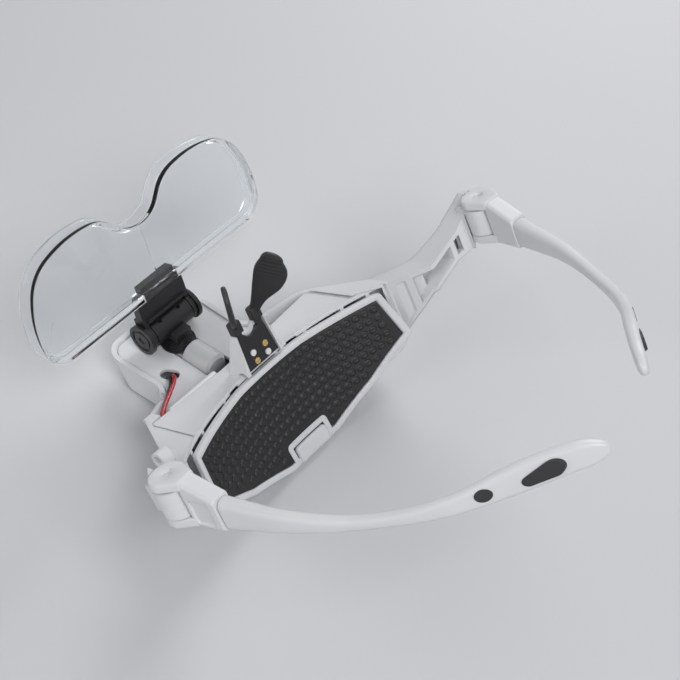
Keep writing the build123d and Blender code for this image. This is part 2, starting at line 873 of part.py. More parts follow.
for side, name in ((1, "led_near"), (-1, "led_far")):
    with BuildPart() as led:
        with BuildSketch(
            Plane(
                origin=(side * led_across, -barrel_back - led_seat - fit_gap, barrel_height),
                x_dir=(1, 0, 0),
                z_dir=(0, -1, 0),
            )
        ):
            Circle(led_radius)
        extrude(amount=barrel_radius - led_seat - fit_gap + led_proud)
        fillet(led.edges().sort_by(Axis.Y)[0], radius=led_radius / 2)
    finish(led, name)

# Magnifying lens: a clear rimmed plate with a dome for each eye
lens_back = 31.6
lens_height = 40.1
lens_lean = 16
lens_deep = 8.5
lens_plate = 3
lens_rim = 1.9
lens_base = -1.6
lens_notch = 27.5
lens_notch_half = 6.9
lens_notch_side = 29
lens_lobe_in = 15.5
lens_lobe = 39.5
lens_crown_half = 30.9
lens_crown = 41.4
lens_corner_half = 48.5
lens_corner = 36.9
lens_side_half = 56.7
lens_side = 18.1
lens_base_half = 54.2
lens_rounds = [4.3, 7.5, 12.8, 9.6, 23.5, 5.3]
eye_half = 27.7
eye_height = 19.2
dome_height = 1.7
dome_reach = 34.1
tongue_half = 8.5
tongue_top = 2.6

ahead_dir = Vector(0, -math.cos(math.radians(lens_lean)), -math.sin(math.radians(lens_lean)))
lens_plane = Plane(origin=(0, -lens_back, lens_height), x_dir=(1, 0, 0), z_dir=ahead_dir)
lens_points = [
    (0, lens_notch),
    (lens_notch_half, lens_notch_side),
    (lens_lobe_in, lens_lobe),
    (lens_crown_half, lens_crown),
    (lens_corner_half, lens_corner),
    (lens_side_half, lens_side),
    (lens_base_half, lens_base),
    (0, lens_base),
]


def lens_prism(inset, start, end):
    """The lens outline drawn in by an inset, between two depths ahead of its rear face."""
    with BuildPart() as prism:
        with BuildSketch(lens_plane.offset(start)):
            with BuildLine():
                FilletPolyline(*lens_points, radius=lens_rounds)
                mirror(about=Plane.YZ)
            make_face()
            if inset > 0:
                offset(amount=-inset, kind=Kind.INTERSECTION)
        extrude(amount=end - start)
    return prism.part


dome_radius = (dome_reach**2 + dome_height**2) / (2 * dome_height)


def eye_dome(side):
    """The shallow dome on one half of the lens, inside its rim."""
    dome_depth = lens_plate + dome_height - dome_radius
    with BuildPart() as dome:
        add(lens_prism(lens_rim - fit_gap, lens_plate / 2, lens_deep))
        with BuildSketch(lens_plane):
            with Locations((side * lens_side_half, eye_height)):
                Rectangle(2 * lens_side_half, 2 * lens_side_half)
        extrude(amount=lens_deep, mode=Mode.INTERSECT)
        with Locations(lens_plane.from_local_coords((side * eye_half, eye_height, dome_depth))):
            Sphere(dome_radius, mode=Mode.INTERSECT)
    return dome.part


with BuildPart() as magnifier_lens:
    add(lens_prism(0, 0, lens_deep))
    add(lens_prism(lens_rim, lens_plate, lens_deep + cut_over), mode=Mode.SUBTRACT)
    add(eye_dome(1))
    add(eye_dome(-1))
    with BuildSketch(lens_plane.offset(lens_plate + fit_gap)):
        with Locations((0, lens_base)):
            Rectangle(2 * (tongue_half + fit_gap), 2 * (lens_rim + fit_gap))
    extrude(amount=lens_deep, mode=Mode.SUBTRACT)
finish(magnifier_lens, "magnifier_lens")

# Lens clip: a plate under the lens, with an arm at each end of the barrel
clip_rear = 4.3
clip_front = 8.1
clip_low = -12.7
lip_height = 1.5
lip_proud = 0.9
arm_round = 5.5
arm_half = 2.8
axle_place = lens_plane.to_local_coords(Vector(0, -barrel_back, barrel_height))
axle_ahead = axle_place.Z
axle_low = axle_place.Y


def lens_side_plane(across):
    """Plane facing -X; its own x runs ahead of the lens and its y up along it."""
    origin = lens_plane.from_local_coords((across, 0, 0))
    return Plane(origin=origin, x_dir=ahead_dir, z_dir=(-1, 0, 0))


with BuildPart() as lens_clip:
    with BuildSketch(lens_plane.offset(clip_rear)):
        with Locations((0, (clip_low + lens_base - fit_gap) / 2)):
            Rectangle(2 * clip_half, lens_base - fit_gap - clip_low)
    extrude(amount=clip_front - clip_rear)
    with BuildSketch(lens_plane.offset(clip_rear - lip_proud)):
        with Locations((0, clip_low + lip_height / 2)):
            Rectangle(2 * (clip_half - clip_arm), lip_height)
    extrude(amount=lip_proud)
    with BuildSketch(lens_plane.offset(lens_plate + dome_height)):
        with Locations((0, (lens_base - wall + tongue_top) / 2)):
            Rectangle(2 * tongue_half, tongue_top - lens_base + wall)
    extrude(amount=lens_deep - lens_plate - dome_height)
    for start in (clip_half, -clip_half + clip_arm):
        with BuildSketch(lens_side_plane(start)):
            with Locations((axle_ahead, axle_low)):
                Circle(arm_round)
            with Locations((axle_ahead, (axle_low + clip_low + lip_height) / 2)):
                Rectangle(2 * arm_half, clip_low + lip_height - axle_low)
            with Locations((axle_ahead, axle_low)):
                Circle(cap_shaft + running_gap, mode=Mode.SUBTRACT)
        extrude(amount=clip_arm)
finish(lens_clip, "lens_clip")

for side, name in ((1, "pivot_cap_near"), (-1, "pivot_cap_far")):
    with BuildPart() as pivot_cap:
        with BuildSketch(upright(side * cap_shaft_in)):
            with Locations((-barrel_back, barrel_height)):
                Circle(cap_shaft)
        extrude(amount=side * (clip_half + fit_gap - cap_shaft_in))
        with BuildSketch(upright(side * (clip_half + fit_gap))):
            with Locations((-barrel_back, barrel_height)):
                Circle(cap_radius)
        extrude(amount=side * cap_thick)
        with BuildSketch(upright(side * (clip_half + fit_gap + cap_thick - cap_ring_deep))):
            with Locations((-barrel_back, barrel_height)):
                Circle(cap_ring_out)
                Circle(cap_ring_in, mode=Mode.SUBTRACT)
                Circle(cap_shaft)
        extrude(amount=side * cap_ring_deep, mode=Mode.SUBTRACT)
    finish(pivot_cap, name)

# Temple arms: a hinged root, then a long arm whose tongue sits inside the root
near_root_angle = 4.5
far_root_angle = 12.6
root_length = 20
root_half = 3.4
root_start = 7.3
root_shoulder = 14.4
root_top = -0.3
root_low = -8.5
root_tongue_start = 12.5
root_pocket_half = 1.7
root_pocket_rise = 3.2
window_start = 8.6
window_end = 15.8
window_half = 3.4
window_deep = 0.7
tongue_lap = 4

# Stations along the arm: how far in, how far along, half its thickness, and its two edges
arm_root_half = 3
arm_root_top = 2.4
arm_neck_in = 2.7
arm_neck_run = 25
arm_neck = root_length + arm_neck_run
arm_neck_half = 2.3
arm_neck_top = -1.2
arm_neck_low = -7.9
arm_waist_in = 9.2
arm_waist_run = 23
arm_waist = arm_neck + arm_waist_run
arm_waist_half = 2.1
arm_waist_top = -3.4
arm_waist_low = -7.5
arm_bend_in = 18.9
arm_bend_run = 22
arm_bend = arm_waist + arm_bend_run
arm_bend_half = 1.9
arm_bend_top = -1.1
arm_bend_low = -6.9
arm_hook_in = 33.1
arm_hook_run = 20
arm_hook = arm_bend + arm_hook_run
arm_hook_half = 2
arm_hook_top = 4.3
arm_hook_low = -5
arm_end_run = 9.5
arm_end = arm_hook + arm_end_run
arm_end_top = 5.1
arm_end_low = -3.6
arm_tip_in = 45.9
arm_tip_run = 8.3
arm_tip = arm_end + arm_tip_run
arm_tip_half = 1.7
arm_tip_rise = 0.8
dot_run = 9.9
dot_place = arm_bend + dot_run
dot_rise = -2
dot_radius = 2.1
drop_start_run = 0.4
drop_start = arm_hook + drop_start_run
drop_start_rise = -1.4
drop_start_radius = 1.7
drop_length = 5.8
drop_end = drop_start + drop_length
drop_end_rise = 0.6
drop_end_radius = 2.7
insert_deep = 1.2
insert_proud = 0.3


def arm_plane(side, turn):
    """Plane on a hinge axis; its own x runs outward and its y along the arm's root."""
    lean = math.radians(turn)
    outward = across_head(side * math.cos(lean), math.sin(lean), 0)
    origin = head.from_local_coords((side * hinge_half, 0, knuckle_centre))
    return Plane(origin=origin, x_dir=outward, z_dir=nose_dir * side)


def arm_side_plane(flat):
    """Plane along the arm's root; its own x runs along the root and its y to the nose."""
    return Plane(origin=flat.origin, x_dir=flat.y_dir, z_dir=flat.y_dir.cross(nose_dir))


arm_line = [
    (0, root_length + part_gap, arm_root_half),
    (-arm_neck_in, arm_neck, arm_neck_half),
    (-arm_waist_in, arm_waist, arm_waist_half),
    (-arm_bend_in, arm_bend, arm_bend_half),
    (-arm_hook_in, arm_hook, arm_hook_half),
    (-arm_tip_in, arm_tip, arm_tip_half),
]
arm_edge = [
    (root_length + part_gap, arm_root_top),
    (arm_neck, arm_neck_top),
    (arm_waist, arm_waist_top),
    (arm_bend, arm_bend_top),
    (arm_hook, arm_hook_top),
    (arm_end, arm_end_top),
    (arm_tip, arm_tip_rise),
    (arm_end, arm_end_low),
    (arm_hook, arm_hook_low),
    (arm_bend, arm_bend_low),
    (arm_waist, arm_waist_low),
    (arm_neck, arm_neck_low),
    (root_length + part_gap, root_low),
]
tongue_level = (root_low + arm_root_top) / 2


def arm_side_points(side_sign, inset):
    """Points beside the arm's middle line, square to it, drawn in by an inset."""
    points = []
    last = len(arm_line) - 1
    for place, (across, along, half) in enumerate(arm_line):
        before = arm_line[max(place - 1, 0)]
        after = arm_line[min(place + 1, last)]
        if place == 0:
            before, after = (0, 0), (0, root_length)
        run = Vector(after[0] - before[0], after[1] - before[1]).normalized()
        square = Vector(run.Y, -run.X)
        point = Vector(across, along) + square * (side_sign * (half - inset))
        points.append((point.X, point.Y))
    return points


def arm_blade(flat, outer_inset, inner_inset):
    """The curved arm beyond its root, between two insets from its outer and inner faces."""
    outer = arm_side_points(1, outer_inset)
    inner = arm_side_points(-1, inner_inset)
    side_plane = arm_side_plane(flat)
    with BuildPart() as blade:
        with BuildSketch(flat):
            with BuildLine():
                Spline(*outer, tangents=[(0, 1), (-1, 1)])
                Line(outer[-1], inner[-1])
                Spline(*inner, tangents=[(0, 1), (-1, 1)])
                Line(inner[0], outer[0])
            make_face()
        extrude(amount=knuckle_height, both=True)
        with BuildSketch(side_plane):
            with BuildLine():
                Spline(*arm_edge)
                Line(arm_edge[-1], arm_edge[0])
            make_face()
        extrude(amount=reach, both=True, mode=Mode.INTERSECT)
    return blade.part


def insert_form(flat, margin, deep, proud):
    """The two soft inserts let into the arm's outer face, a dot and a drop."""
    side_plane = arm_side_plane(flat)
    with BuildPart() as form:
        with BuildSketch(side_plane):
            with Locations((dot_place, dot_rise)):
                Circle(dot_radius + margin)
        with BuildSketch(side_plane):
            with Locations((drop_start, drop_start_rise)):
                Circle(drop_start_radius + margin)
            with Locations((drop_end, drop_end_rise)):
                Circle(drop_end_radius + margin)
            make_hull()
        extrude(amount=reach, both=True)
        add(arm_blade(flat, -proud, 2 * arm_hook_half - deep - proud), mode=Mode.INTERSECT)
    return form.part


for side, name, turn in ((1, "near", near_root_angle), (-1, "far", far_root_angle)):
    flat = arm_plane(side, turn)
    side_plane = arm_side_plane(flat)
    tongue_plane = flat.offset(side * tongue_level)
    # Root: two ears round the frame's lug, a pocket for the tongue and a window on it
    with BuildPart() as arm_root:
        with BuildSketch(flat):
            Circle(knuckle_radius)
            with Locations((0, root_length / 2)):
                Rectangle(2 * root_half, root_length)
        extrude(amount=knuckle_height / 2, both=True)
        with BuildSketch(flat):
            Circle(root_start)
        extrude(amount=lug_height / 2 + knuckle_gap, both=True, mode=Mode.SUBTRACT)
        with BuildSketch(flat):
            Circle(pin_radius + running_gap)
        extrude(amount=knuckle_height, both=True, mode=Mode.SUBTRACT)
        with BuildSketch(side_plane):
            with BuildLine():
                Polyline(
                    (root_start, knuckle_height / 2),
                    (root_shoulder, root_top + root_pocket_rise),
                    (root_length + reach, root_top + root_pocket_rise),
                    (root_length + reach, knuckle_height),
                    (root_start, knuckle_height),
                    close=True,
                )
            make_face()
        extrude(amount=knuckle_radius, both=True, mode=Mode.SUBTRACT)
        with BuildSketch(tongue_plane):
            with Locations((0, root_tongue_start + root_length / 2)):
                Rectangle(2 * (root_pocket_half + fit_gap), root_length + 2 * fit_gap)
        extrude(amount=root_pocket_rise + fit_gap, both=True, mode=Mode.SUBTRACT)
        with BuildSketch(side_plane.offset(side * (root_half - window_deep))):
            with Locations(((window_start + window_end) / 2, tongue_level)):
                Rectangle(window_end - window_start, 2 * window_half)
        extrude(amount=side * knuckle_radius, mode=Mode.SUBTRACT)
    finish(arm_root, name + "_arm_root")

    with BuildPart() as temple_arm:
        add(arm_blade(flat, 0, 0))
        with BuildSketch(tongue_plane):
            with Locations((0, (root_tongue_start + root_length + tongue_lap) / 2)):
                Rectangle(2 * root_pocket_half, root_length + tongue_lap - root_tongue_start)
        extrude(amount=root_pocket_rise, both=True)
        add(insert_form(flat, fit_gap, insert_deep, insert_proud), mode=Mode.SUBTRACT)
    finish(temple_arm, name + "_temple_arm")

    inserts = insert_form(flat, 0, insert_deep - fit_gap, insert_proud)
    inserts_by_place = inserts.solids().sort_by(Axis(flat.origin, flat.y_dir))
    for solid, kind in zip(inserts_by_place, ("dot", "drop")):
        with BuildPart() as insert:
            add(solid)
        finish(insert, name + "_grip_" + kind)

    with BuildPart() as hinge_pin:
        with BuildSketch(flat):
            Circle(pin_radius - running_gap)
        extrude(amount=knuckle_height / 2 - part_gap, both=True)
    finish(hinge_pin, name + "_hinge_pin")

# Lamp leads: up through the deck's hole, along the neck and under the clip tab
lead_radius = 0.75
lead_bend = 1.6
lead_red_route = [
    (13.4, -18.3, 6.9),
    (14.1, -17.5, 12.3),
    (17.0, -12.4, 16.2),
    (22.9, -8.7, 17.5),
    (30.4, -4.7, 18.9),
    (36.8, -0.2, 19.6),
    (38.6, 1.2, 17.8),
]
lead_black_route = [
    (14.4, -19.8, 6.9),
    (15.0, -19.1, 11.9),
    (17.9, -13.8, 14.2),
    (23.5, -9.6, 15.7),
    (30.6, -5.4, 17.1),
    (36.8, -1.0, 17.8),
    (38.6, 0.5, 16.1),
]
for name, points in (("lead_red", lead_red_route), ("lead_black", lead_black_route)):
    with BuildPart() as lead:
        with BuildLine() as route:
            FilletPolyline(*points, radius=lead_bend)
        with BuildSketch(Plane(origin=route.line @ 0, z_dir=route.line % 0)):
            Circle(lead_radius)
        sweep(path=route.line)
    finish(lead, name)
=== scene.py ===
# %% [markdown]
# # Lighted magnifier glasses
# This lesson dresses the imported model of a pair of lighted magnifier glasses. They lie upside
# down on their flat top, so the nose pads point up and the battery cover faces the reader.
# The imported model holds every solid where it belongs. The scene loads it as a frame, gives each
# piece a finish, and replaces the soft, clear and moulded pieces with finer surfaces.

# %% Load the frame
import json
import math

import bmesh
import bpy
import numpy as np
from mathutils import Matrix, Vector


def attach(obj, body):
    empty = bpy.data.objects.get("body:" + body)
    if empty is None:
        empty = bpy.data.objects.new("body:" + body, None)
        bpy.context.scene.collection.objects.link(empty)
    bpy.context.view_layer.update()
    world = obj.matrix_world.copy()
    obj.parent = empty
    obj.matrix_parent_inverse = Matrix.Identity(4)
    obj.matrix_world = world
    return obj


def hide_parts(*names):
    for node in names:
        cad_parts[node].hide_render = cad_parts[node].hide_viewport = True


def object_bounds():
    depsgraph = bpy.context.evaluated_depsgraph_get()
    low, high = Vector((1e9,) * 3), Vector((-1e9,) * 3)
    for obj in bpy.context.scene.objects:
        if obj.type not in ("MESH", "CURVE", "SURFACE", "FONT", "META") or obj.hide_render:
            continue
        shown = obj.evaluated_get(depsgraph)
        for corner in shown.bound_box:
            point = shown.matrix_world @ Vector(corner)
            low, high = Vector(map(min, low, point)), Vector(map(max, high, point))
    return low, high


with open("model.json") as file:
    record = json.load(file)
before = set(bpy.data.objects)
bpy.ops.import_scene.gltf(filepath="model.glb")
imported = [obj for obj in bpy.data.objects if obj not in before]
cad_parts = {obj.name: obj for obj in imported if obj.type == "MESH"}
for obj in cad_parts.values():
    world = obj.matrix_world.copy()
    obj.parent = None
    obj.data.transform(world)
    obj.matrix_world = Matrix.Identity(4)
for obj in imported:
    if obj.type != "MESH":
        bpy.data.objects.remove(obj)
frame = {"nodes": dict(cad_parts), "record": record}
nodes = frame["nodes"]
cad_low, cad_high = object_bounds()
print("packed model, mm:", [round(1000 * v) for v in cad_high - cad_low])

# %% [markdown]
# ## Two ways to say where something is
# The glasses lie on a slope, so few of their faces are level. A point is easier to give in the
# wearer's own directions: across, back from the hinges, and towards the nose. One small function
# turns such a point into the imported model's frame. It works on whole arrays, so a surface of
# thousands of points is placed in one call. Millimetres go in and metres come out.

# %% Wearer's directions to the model's frame
LIE = math.radians(27)
HINGE_BACK, HINGE_HEIGHT, HINGE_HALF, KNUCKLE = 51.2, 75.2, 80.0, -8.0
ACROSS = np.array([1.0, 0.0, 0.0])
BACK = np.array([0.0, math.cos(LIE), math.sin(LIE)])
NOSE = np.array([0.0, -math.sin(LIE), math.cos(LIE)])
HINGES = np.array([0.0, HINGE_BACK, HINGE_HEIGHT])


def place(origin, directions, *amounts):
    """Origin plus each amount along its direction; amounts are arrays in millimetres."""
    total = np.asarray(origin, float)
    for direction, amount in zip(directions, amounts):
        total = total + np.multiply.outer(np.asarray(amount, float), direction)
    return total / 1000


print("near hinge, m:", place(HINGES, (ACROSS, NOSE), HINGE_HALF, KNUCKLE).round(4))

# %% [markdown]
# ## The camera
# The photograph looks down on the inner side of the glasses from above the near arm. The camera
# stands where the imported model's hinges, nose plate and lens fall on the same pixels as in the
# photograph. The focal length comes from the same fit, for a square picture.

# %% Camera
camera = bpy.data.objects.new("camera", bpy.data.cameras.new("camera"))
bpy.context.scene.collection.objects.link(camera)
STAND = Vector((0.2501, 0.2595, 0.4249))
SENSOR_MM, LENS_MM = 36, 76.8
look = Vector((-0.5188, -0.4283, -0.7399)).normalized()
right = Vector((-0.633, 0.774, -0.004))
right = (right - look * right.dot(look)).normalized()
up = right.cross(look)
turned = Matrix((right, up, -look)).transposed().to_4x4()
camera.matrix_world = Matrix.Translation(STAND) @ turned
camera.data.sensor_width, camera.data.lens = SENSOR_MM, LENS_MM
camera.data.clip_start, camera.data.clip_end = 0.01, 20
bpy.context.scene.camera = camera
print("camera looks", [round(v, 3) for v in look])

# %% [markdown]
# ## Floor, light and background
# A plain pale floor takes the shadow. It lies at the object's lowest point. Three large soft lamps
# make a studio: a key from above, behind the glasses, a fill from the near side and a rim light
# from the far side that draws the edges of the white plastic. Large lamps give the broad, soft
# glints that moulded plastic shows.

# %% Stage
scene = bpy.context.scene
scene.view_settings.view_transform = "Standard"

FLOOR_HALF = 4
floor_corners = [(-1, -1), (1, -1), (1, 1), (-1, 1)]
floor_mesh = bpy.data.meshes.new("floor")
floor_mesh.from_pydata(
    [(FLOOR_HALF * x, FLOOR_HALF * y, cad_low[2]) for x, y in floor_corners], [], [(0, 1, 2, 3)]
)
floor = bpy.data.objects.new("floor", floor_mesh)
scene.collection.objects.link(floor)


AIM = Vector((0, 0.03, 0.04))


def soft_lamp(name, spot, size, watts):
    """A square area lamp at a spot, turned to face the middle of the glasses."""
    data = bpy.data.lights.new(name, "AREA")
    data.size, data.energy = size, watts
    lamp = bpy.data.objects.new(name, data)
    lamp.location = spot
    lamp.rotation_mode = "QUATERNION"
    lamp.rotation_quaternion = (AIM - Vector(spot)).to_track_quat("-Z", "Y")
    scene.collection.objects.link(lamp)


soft_lamp("key", (0.35, 0.9, 1.1), 0.7, 11)
soft_lamp("fill", (1.0, -0.5, 0.8), 0.9, 5)
soft_lamp("rim", (-0.9, -0.3, 0.7), 0.6, 6)

# %% [markdown]
# ## What metal and clear plastic reflect
# Clear plastic shows little but what is behind it and what it mirrors, so an empty world would
# draw black streaks in the lens. The world is a dim fill for the light on matt faces, and a pale
# backdrop for the rays that mirrors, clear pieces and the camera send out.

# %% World
BACKDROP = (0.60, 0.61, 0.63)
world = bpy.data.worlds.new("studio")
world.use_nodes = True
scene.world = world
sky = world.node_tree
sky_out = sky.nodes["World Output"]
fill_sky = sky.nodes["Background"]
fill_sky.inputs["Color"].default_value = (0.80, 0.82, 0.85, 1)
fill_sky.inputs["Strength"].default_value = 0.17
seen_sky = sky.nodes.new("ShaderNodeBackground")
seen_sky.inputs["Color"].default_value = (*BACKDROP, 1)
seen_sky.inputs["Strength"].default_value = 1.0
rays = sky.nodes.new("ShaderNodeLightPath")
seen = rays.outputs["Is Camera Ray"]
for kind in ("Is Glossy Ray", "Is Transmission Ray"):
    either = sky.nodes.new("ShaderNodeMath")
    either.operation = "MAXIMUM"
    sky.links.new(seen, either.inputs[0])
    sky.links.new(rays.outputs[kind], either.inputs[1])
    seen = either.outputs[0]
choice = sky.nodes.new("ShaderNodeMixShader")
sky.links.new(seen, choice.inputs[0])
sky.links.new(fill_sky.outputs[0], choice.inputs[1])
sky.links.new(seen_sky.outputs[0], choice.inputs[2])
sky.links.new(choice.outputs[0], sky_out.inputs["Surface"])
print("world nodes:", len(sky.nodes))

# %% [markdown]
# ## Shader maths as plain expressions
# A material is a small program of nodes. Written by hand, each sum needs a Math node and two
# links. The class below wraps one output socket and overloads the operators, so a mask is written
# as arithmetic. Any other node comes from one method that takes a type, its settings and the
# values or links of its sockets.


# %% Shader helper
class Value:
    """One output socket; arithmetic on it adds Math nodes."""

    def __init__(self, maker, socket):
        self.maker, self.socket = maker, socket

    def sum_of(self, operation, *others):
        """A Math node of that operation on this value and the others."""
        node = self.maker.tree.nodes.new("ShaderNodeMath")
        node.operation = operation
        for place_in, item in enumerate((self, *others)):
            self.maker.feed(node.inputs[place_in], item)
        return Value(self.maker, node.outputs[0])

    def __add__(self, other):
        return self.sum_of("ADD", other)

    def __sub__(self, other):
        return self.sum_of("SUBTRACT", other)

    def __mul__(self, other):
        return self.sum_of("MULTIPLY", other)

    def __rsub__(self, other):
        return self.sum_of("MULTIPLY", -1).sum_of("ADD", other)

    __radd__ = __add__
    __rmul__ = __mul__

    def between(self, low, high):
        """0 below low, 1 above high and smooth between them."""
        sockets = {"Value": self, "From Min": low, "From Max": high}
        return self.maker.node("ShaderNodeMapRange", {"interpolation_type": "SMOOTHSTEP"}, sockets)


class Finish:
    """A material under construction, with its principled shader."""

    def __init__(self, name, colour, rough, **fixed):
        self.material = bpy.data.materials.new(name)
        self.material.use_nodes = True
        self.tree = self.material.node_tree
        self.shader = self.tree.nodes["Principled BSDF"]
        self.shader.inputs["Base Color"].default_value = (*colour, 1)
        self.shader.inputs["Roughness"].default_value = rough
        for socket, value in fixed.items():
            self.shader.inputs[socket.replace("_", " ")].default_value = value

    def feed(self, socket, item):
        """Link an output to a socket, or set the socket's own value."""
        if isinstance(item, Value):
            self.tree.links.new(item.socket, socket)
        else:
            socket.default_value = item

    def node(self, kind, settings=None, sockets=None, output=0):
        """A node of that kind: its settings first, then its sockets."""
        made = self.tree.nodes.new(kind)
        for key, value in (settings or {}).items():
            setattr(made, key, value)
        for key, value in (sockets or {}).items():
            self.feed(made.inputs[key], value)
        return Value(self, made.outputs[output])

    def point(self):
        """Object coordinates, in metres."""
        return self.node("ShaderNodeTexCoord", output="Object")

    def noise(self, size, detail=2.0):
        """Soft noise whose blotches are about size metres across."""
        sockets = {"Vector": self.point(), "Scale": 1 / size, "Detail": detail}
        return self.node("ShaderNodeTexNoise", {}, sockets)

    def colours(self, mask, low, high):
        """Colour low where the mask is 0 and high where it is 1."""
        return self.node(
            "ShaderNodeMix",
            {"data_type": "RGBA"},
            {0: mask, 6: (*low, 1), 7: (*high, 1)},
            output=2,
        )

    def raised(self, height, distance, edge=0.0):
        """A bump from a height, on edges rounded by the given radius."""
        sockets = {"Height": height, "Distance": distance, "Strength": 1.0}
        if edge > 0:
            sockets["Normal"] = self.node("ShaderNodeBevel", {"samples": 4}, {"Radius": edge})
        bump = self.node("ShaderNodeBump", {}, sockets)
        self.feed(self.shader.inputs["Normal"], bump)

    def set(self, socket, item):
        """Feed one socket of the principled shader."""
        self.feed(self.shader.inputs[socket], item)


# %% [markdown]
# ## Moulded plastic
# The frame, cover and arms are white moulded plastic with a satin face. A real moulding is never
# one flat colour: it is slightly cooler where it is thin, and its gloss drifts with the flow of
# the melt. Fine grain from the tool breaks up the glints. The black bracket has the same build
# with a darker, softer sheen. A small rounding is shaded onto the edges of the hard pieces, as no
# moulding has a sharp one.


# %% Moulded finishes
FLOW_SIZE, PATCH_SIZE, GRAIN_SIZE, GLOSS_DRIFT = 0.03, 0.006, 0.0005, 0.16


def moulded(name, colour, drift, rough, grain, edge):
    """Satin plastic: colour and gloss drift slowly, fine grain in the normal."""
    made = Finish(name, colour, rough)
    flow = made.noise(FLOW_SIZE, 3)
    made.set("Base Color", made.colours(flow.between(0.35, 0.65), colour, drift))
    patch = made.noise(PATCH_SIZE, 4)
    made.set("Roughness", rough + (patch - 0.5) * GLOSS_DRIFT)
    made.raised(made.noise(GRAIN_SIZE, 3), grain, edge)
    return made.material


white = moulded(
    "white_plastic", (0.74, 0.745, 0.76), (0.70, 0.71, 0.735), 0.36, 0.000008, 0.0005
)
tube_grey = moulded(
    "tube_plastic", (0.60, 0.60, 0.61), (0.55, 0.55, 0.57), 0.33, 0.000006, 0.0003
)
black = moulded(
    "bracket_plastic", (0.018, 0.018, 0.019), (0.012, 0.012, 0.013), 0.34, 0.000012, 0.0003
)
plate_black = moulded(
    "plate_plastic", (0.01, 0.01, 0.011), (0.014, 0.014, 0.014), 0.17, 0.000004, 0.0002
)
pin_white = moulded("white_pin", (0.8, 0.8, 0.8), (0.76, 0.76, 0.76), 0.2, 0.000004, 0.0002)
charcoal = moulded(
    "insert_rubber", (0.03, 0.03, 0.033), (0.022, 0.022, 0.024), 0.52, 0.00002, 0.0003
)
pad_rubber = moulded(
    "pad_rubber", (0.014, 0.014, 0.015), (0.02, 0.02, 0.021), 0.5, 0.00003, 0.0003
)
foam_black = moulded(
    "foam_black", (0.007, 0.007, 0.008), (0.010, 0.010, 0.011), 0.5, 0.00002, 0
)
red_cover = moulded("red_lead", (0.50, 0.012, 0.02), (0.42, 0.008, 0.014), 0.28, 0.000008, 0)
black_cover = moulded("black_lead", (0.012, 0.012, 0.012), (0.02, 0.02, 0.02), 0.32, 0.000008, 0)
print("plastics:", len(bpy.data.materials))

# %% [markdown]
# ## Metal, cells and clear plastic
# The screws are bright brass, the pins and contacts plain steel. The cells wear a plain sleeve.
# The lens and the lamps are clear plastic: the shader's own transmission bends light through
# them. The lens bends it less than acrylic does, because a thick rim mirrors more of what is
# inside it and draws a broader dark band. The floor is pale and matt, and far from the object it
# fades into the colour of the backdrop, so no horizon shows.


# %% Metal, cells and clear finishes
def turned_metal(name, colour, rough):
    """Bright metal with fine marks from turning."""
    made = Finish(name, colour, rough, Metallic=1.0)
    marks = made.noise(0.0004, 4)
    made.set("Roughness", rough + (marks - 0.5) * 0.2)
    made.raised(marks, 0.00001, 0.0001)
    return made.material


brass = turned_metal("brass", (0.80, 0.58, 0.26), 0.22)
steel = turned_metal("steel", (0.60, 0.60, 0.62), 0.26)

SLEEVE_DARK, SLEEVE_PALE = (0.10, 0.12, 0.15), (0.14, 0.16, 0.2)
sleeve = Finish("cell_wrap", SLEEVE_DARK, 0.3, Metallic=0.4)
sleeve.set("Base Color", sleeve.colours(sleeve.noise(0.01), SLEEVE_DARK, SLEEVE_PALE))
sleeve.raised(sleeve.noise(0.002), 0.00001, 0.0003)

clear = Finish(
    "clear_plastic", (0.97, 0.985, 1.0), 0.015, Transmission_Weight=1.0, IOR=1.33
)
clear.set("Roughness", 0.012 + clear.noise(0.02, 3).between(0.45, 0.8) * 0.02)
clear_lamp = Finish("lamp_plastic", (0.97, 0.97, 0.93), 0.05, Transmission_Weight=1.0, IOR=1.5)
clear_lamp.set("Roughness", 0.05 + clear_lamp.noise(0.002) * 0.04)

FADE_START, FADE_END = 0.35, 1.1
floor_finish = Finish("floor", (0.62, 0.63, 0.65), 0.6)
floor_finish.set("Roughness", 0.55 + floor_finish.noise(0.2) * 0.1)
far_away = floor_finish.node(
    "ShaderNodeVectorMath", {"operation": "LENGTH"}, {0: floor_finish.point()}, output="Value"
)
glow = floor_finish.node("ShaderNodeEmission", {}, {"Color": (*BACKDROP, 1), "Strength": 1.0})
near_floor = Value(floor_finish, floor_finish.shader.outputs[0])
near_and_far = floor_finish.node(
    "ShaderNodeMixShader", {}, {0: far_away.between(FADE_START, FADE_END), 1: near_floor, 2: glow}
)
floor_finish.feed(floor_finish.tree.nodes["Material Output"].inputs["Surface"], near_and_far)
floor.data.materials.append(floor_finish.material)

finishes = {
    "white_plastic": white,
    "bracket_plastic": black,
    "plate_plastic": plate_black,
    "tube_plastic": tube_grey,
    "foam": foam_black,
    "pad_rubber": pad_rubber,
    "insert_rubber": charcoal,
    "brass": brass,
    "white_pin": pin_white,
    "steel": steel,
    "cell_wrap": sleeve.material,
    "clear_plastic": clear.material,
    "lamp_plastic": clear_lamp.material,
    "red_lead": red_cover,
    "black_lead": black_cover,
}
for part in frame["record"]["subparts"]:
    mesh = nodes[part["node"]].data
    mesh.materials.clear()
    mesh.materials.append(finishes[part["material_slot"]])
print("finished nodes:", len(nodes))

# %% [markdown]
# ## Outlines with rounded corners
# Most flat mouldings here are an outline carried through a thickness: the lens, the battery
# cover, its foam pad, the latch and the nose pads. An outline is kept as corners and a radius for
# each. A place on it is one number: its whole part names a corner, the first half of the rest
# runs round that corner's arc, and the second half along the edge that follows. The same places
# can then be read from the outline drawn in by any amount, so two outlines join point to point.


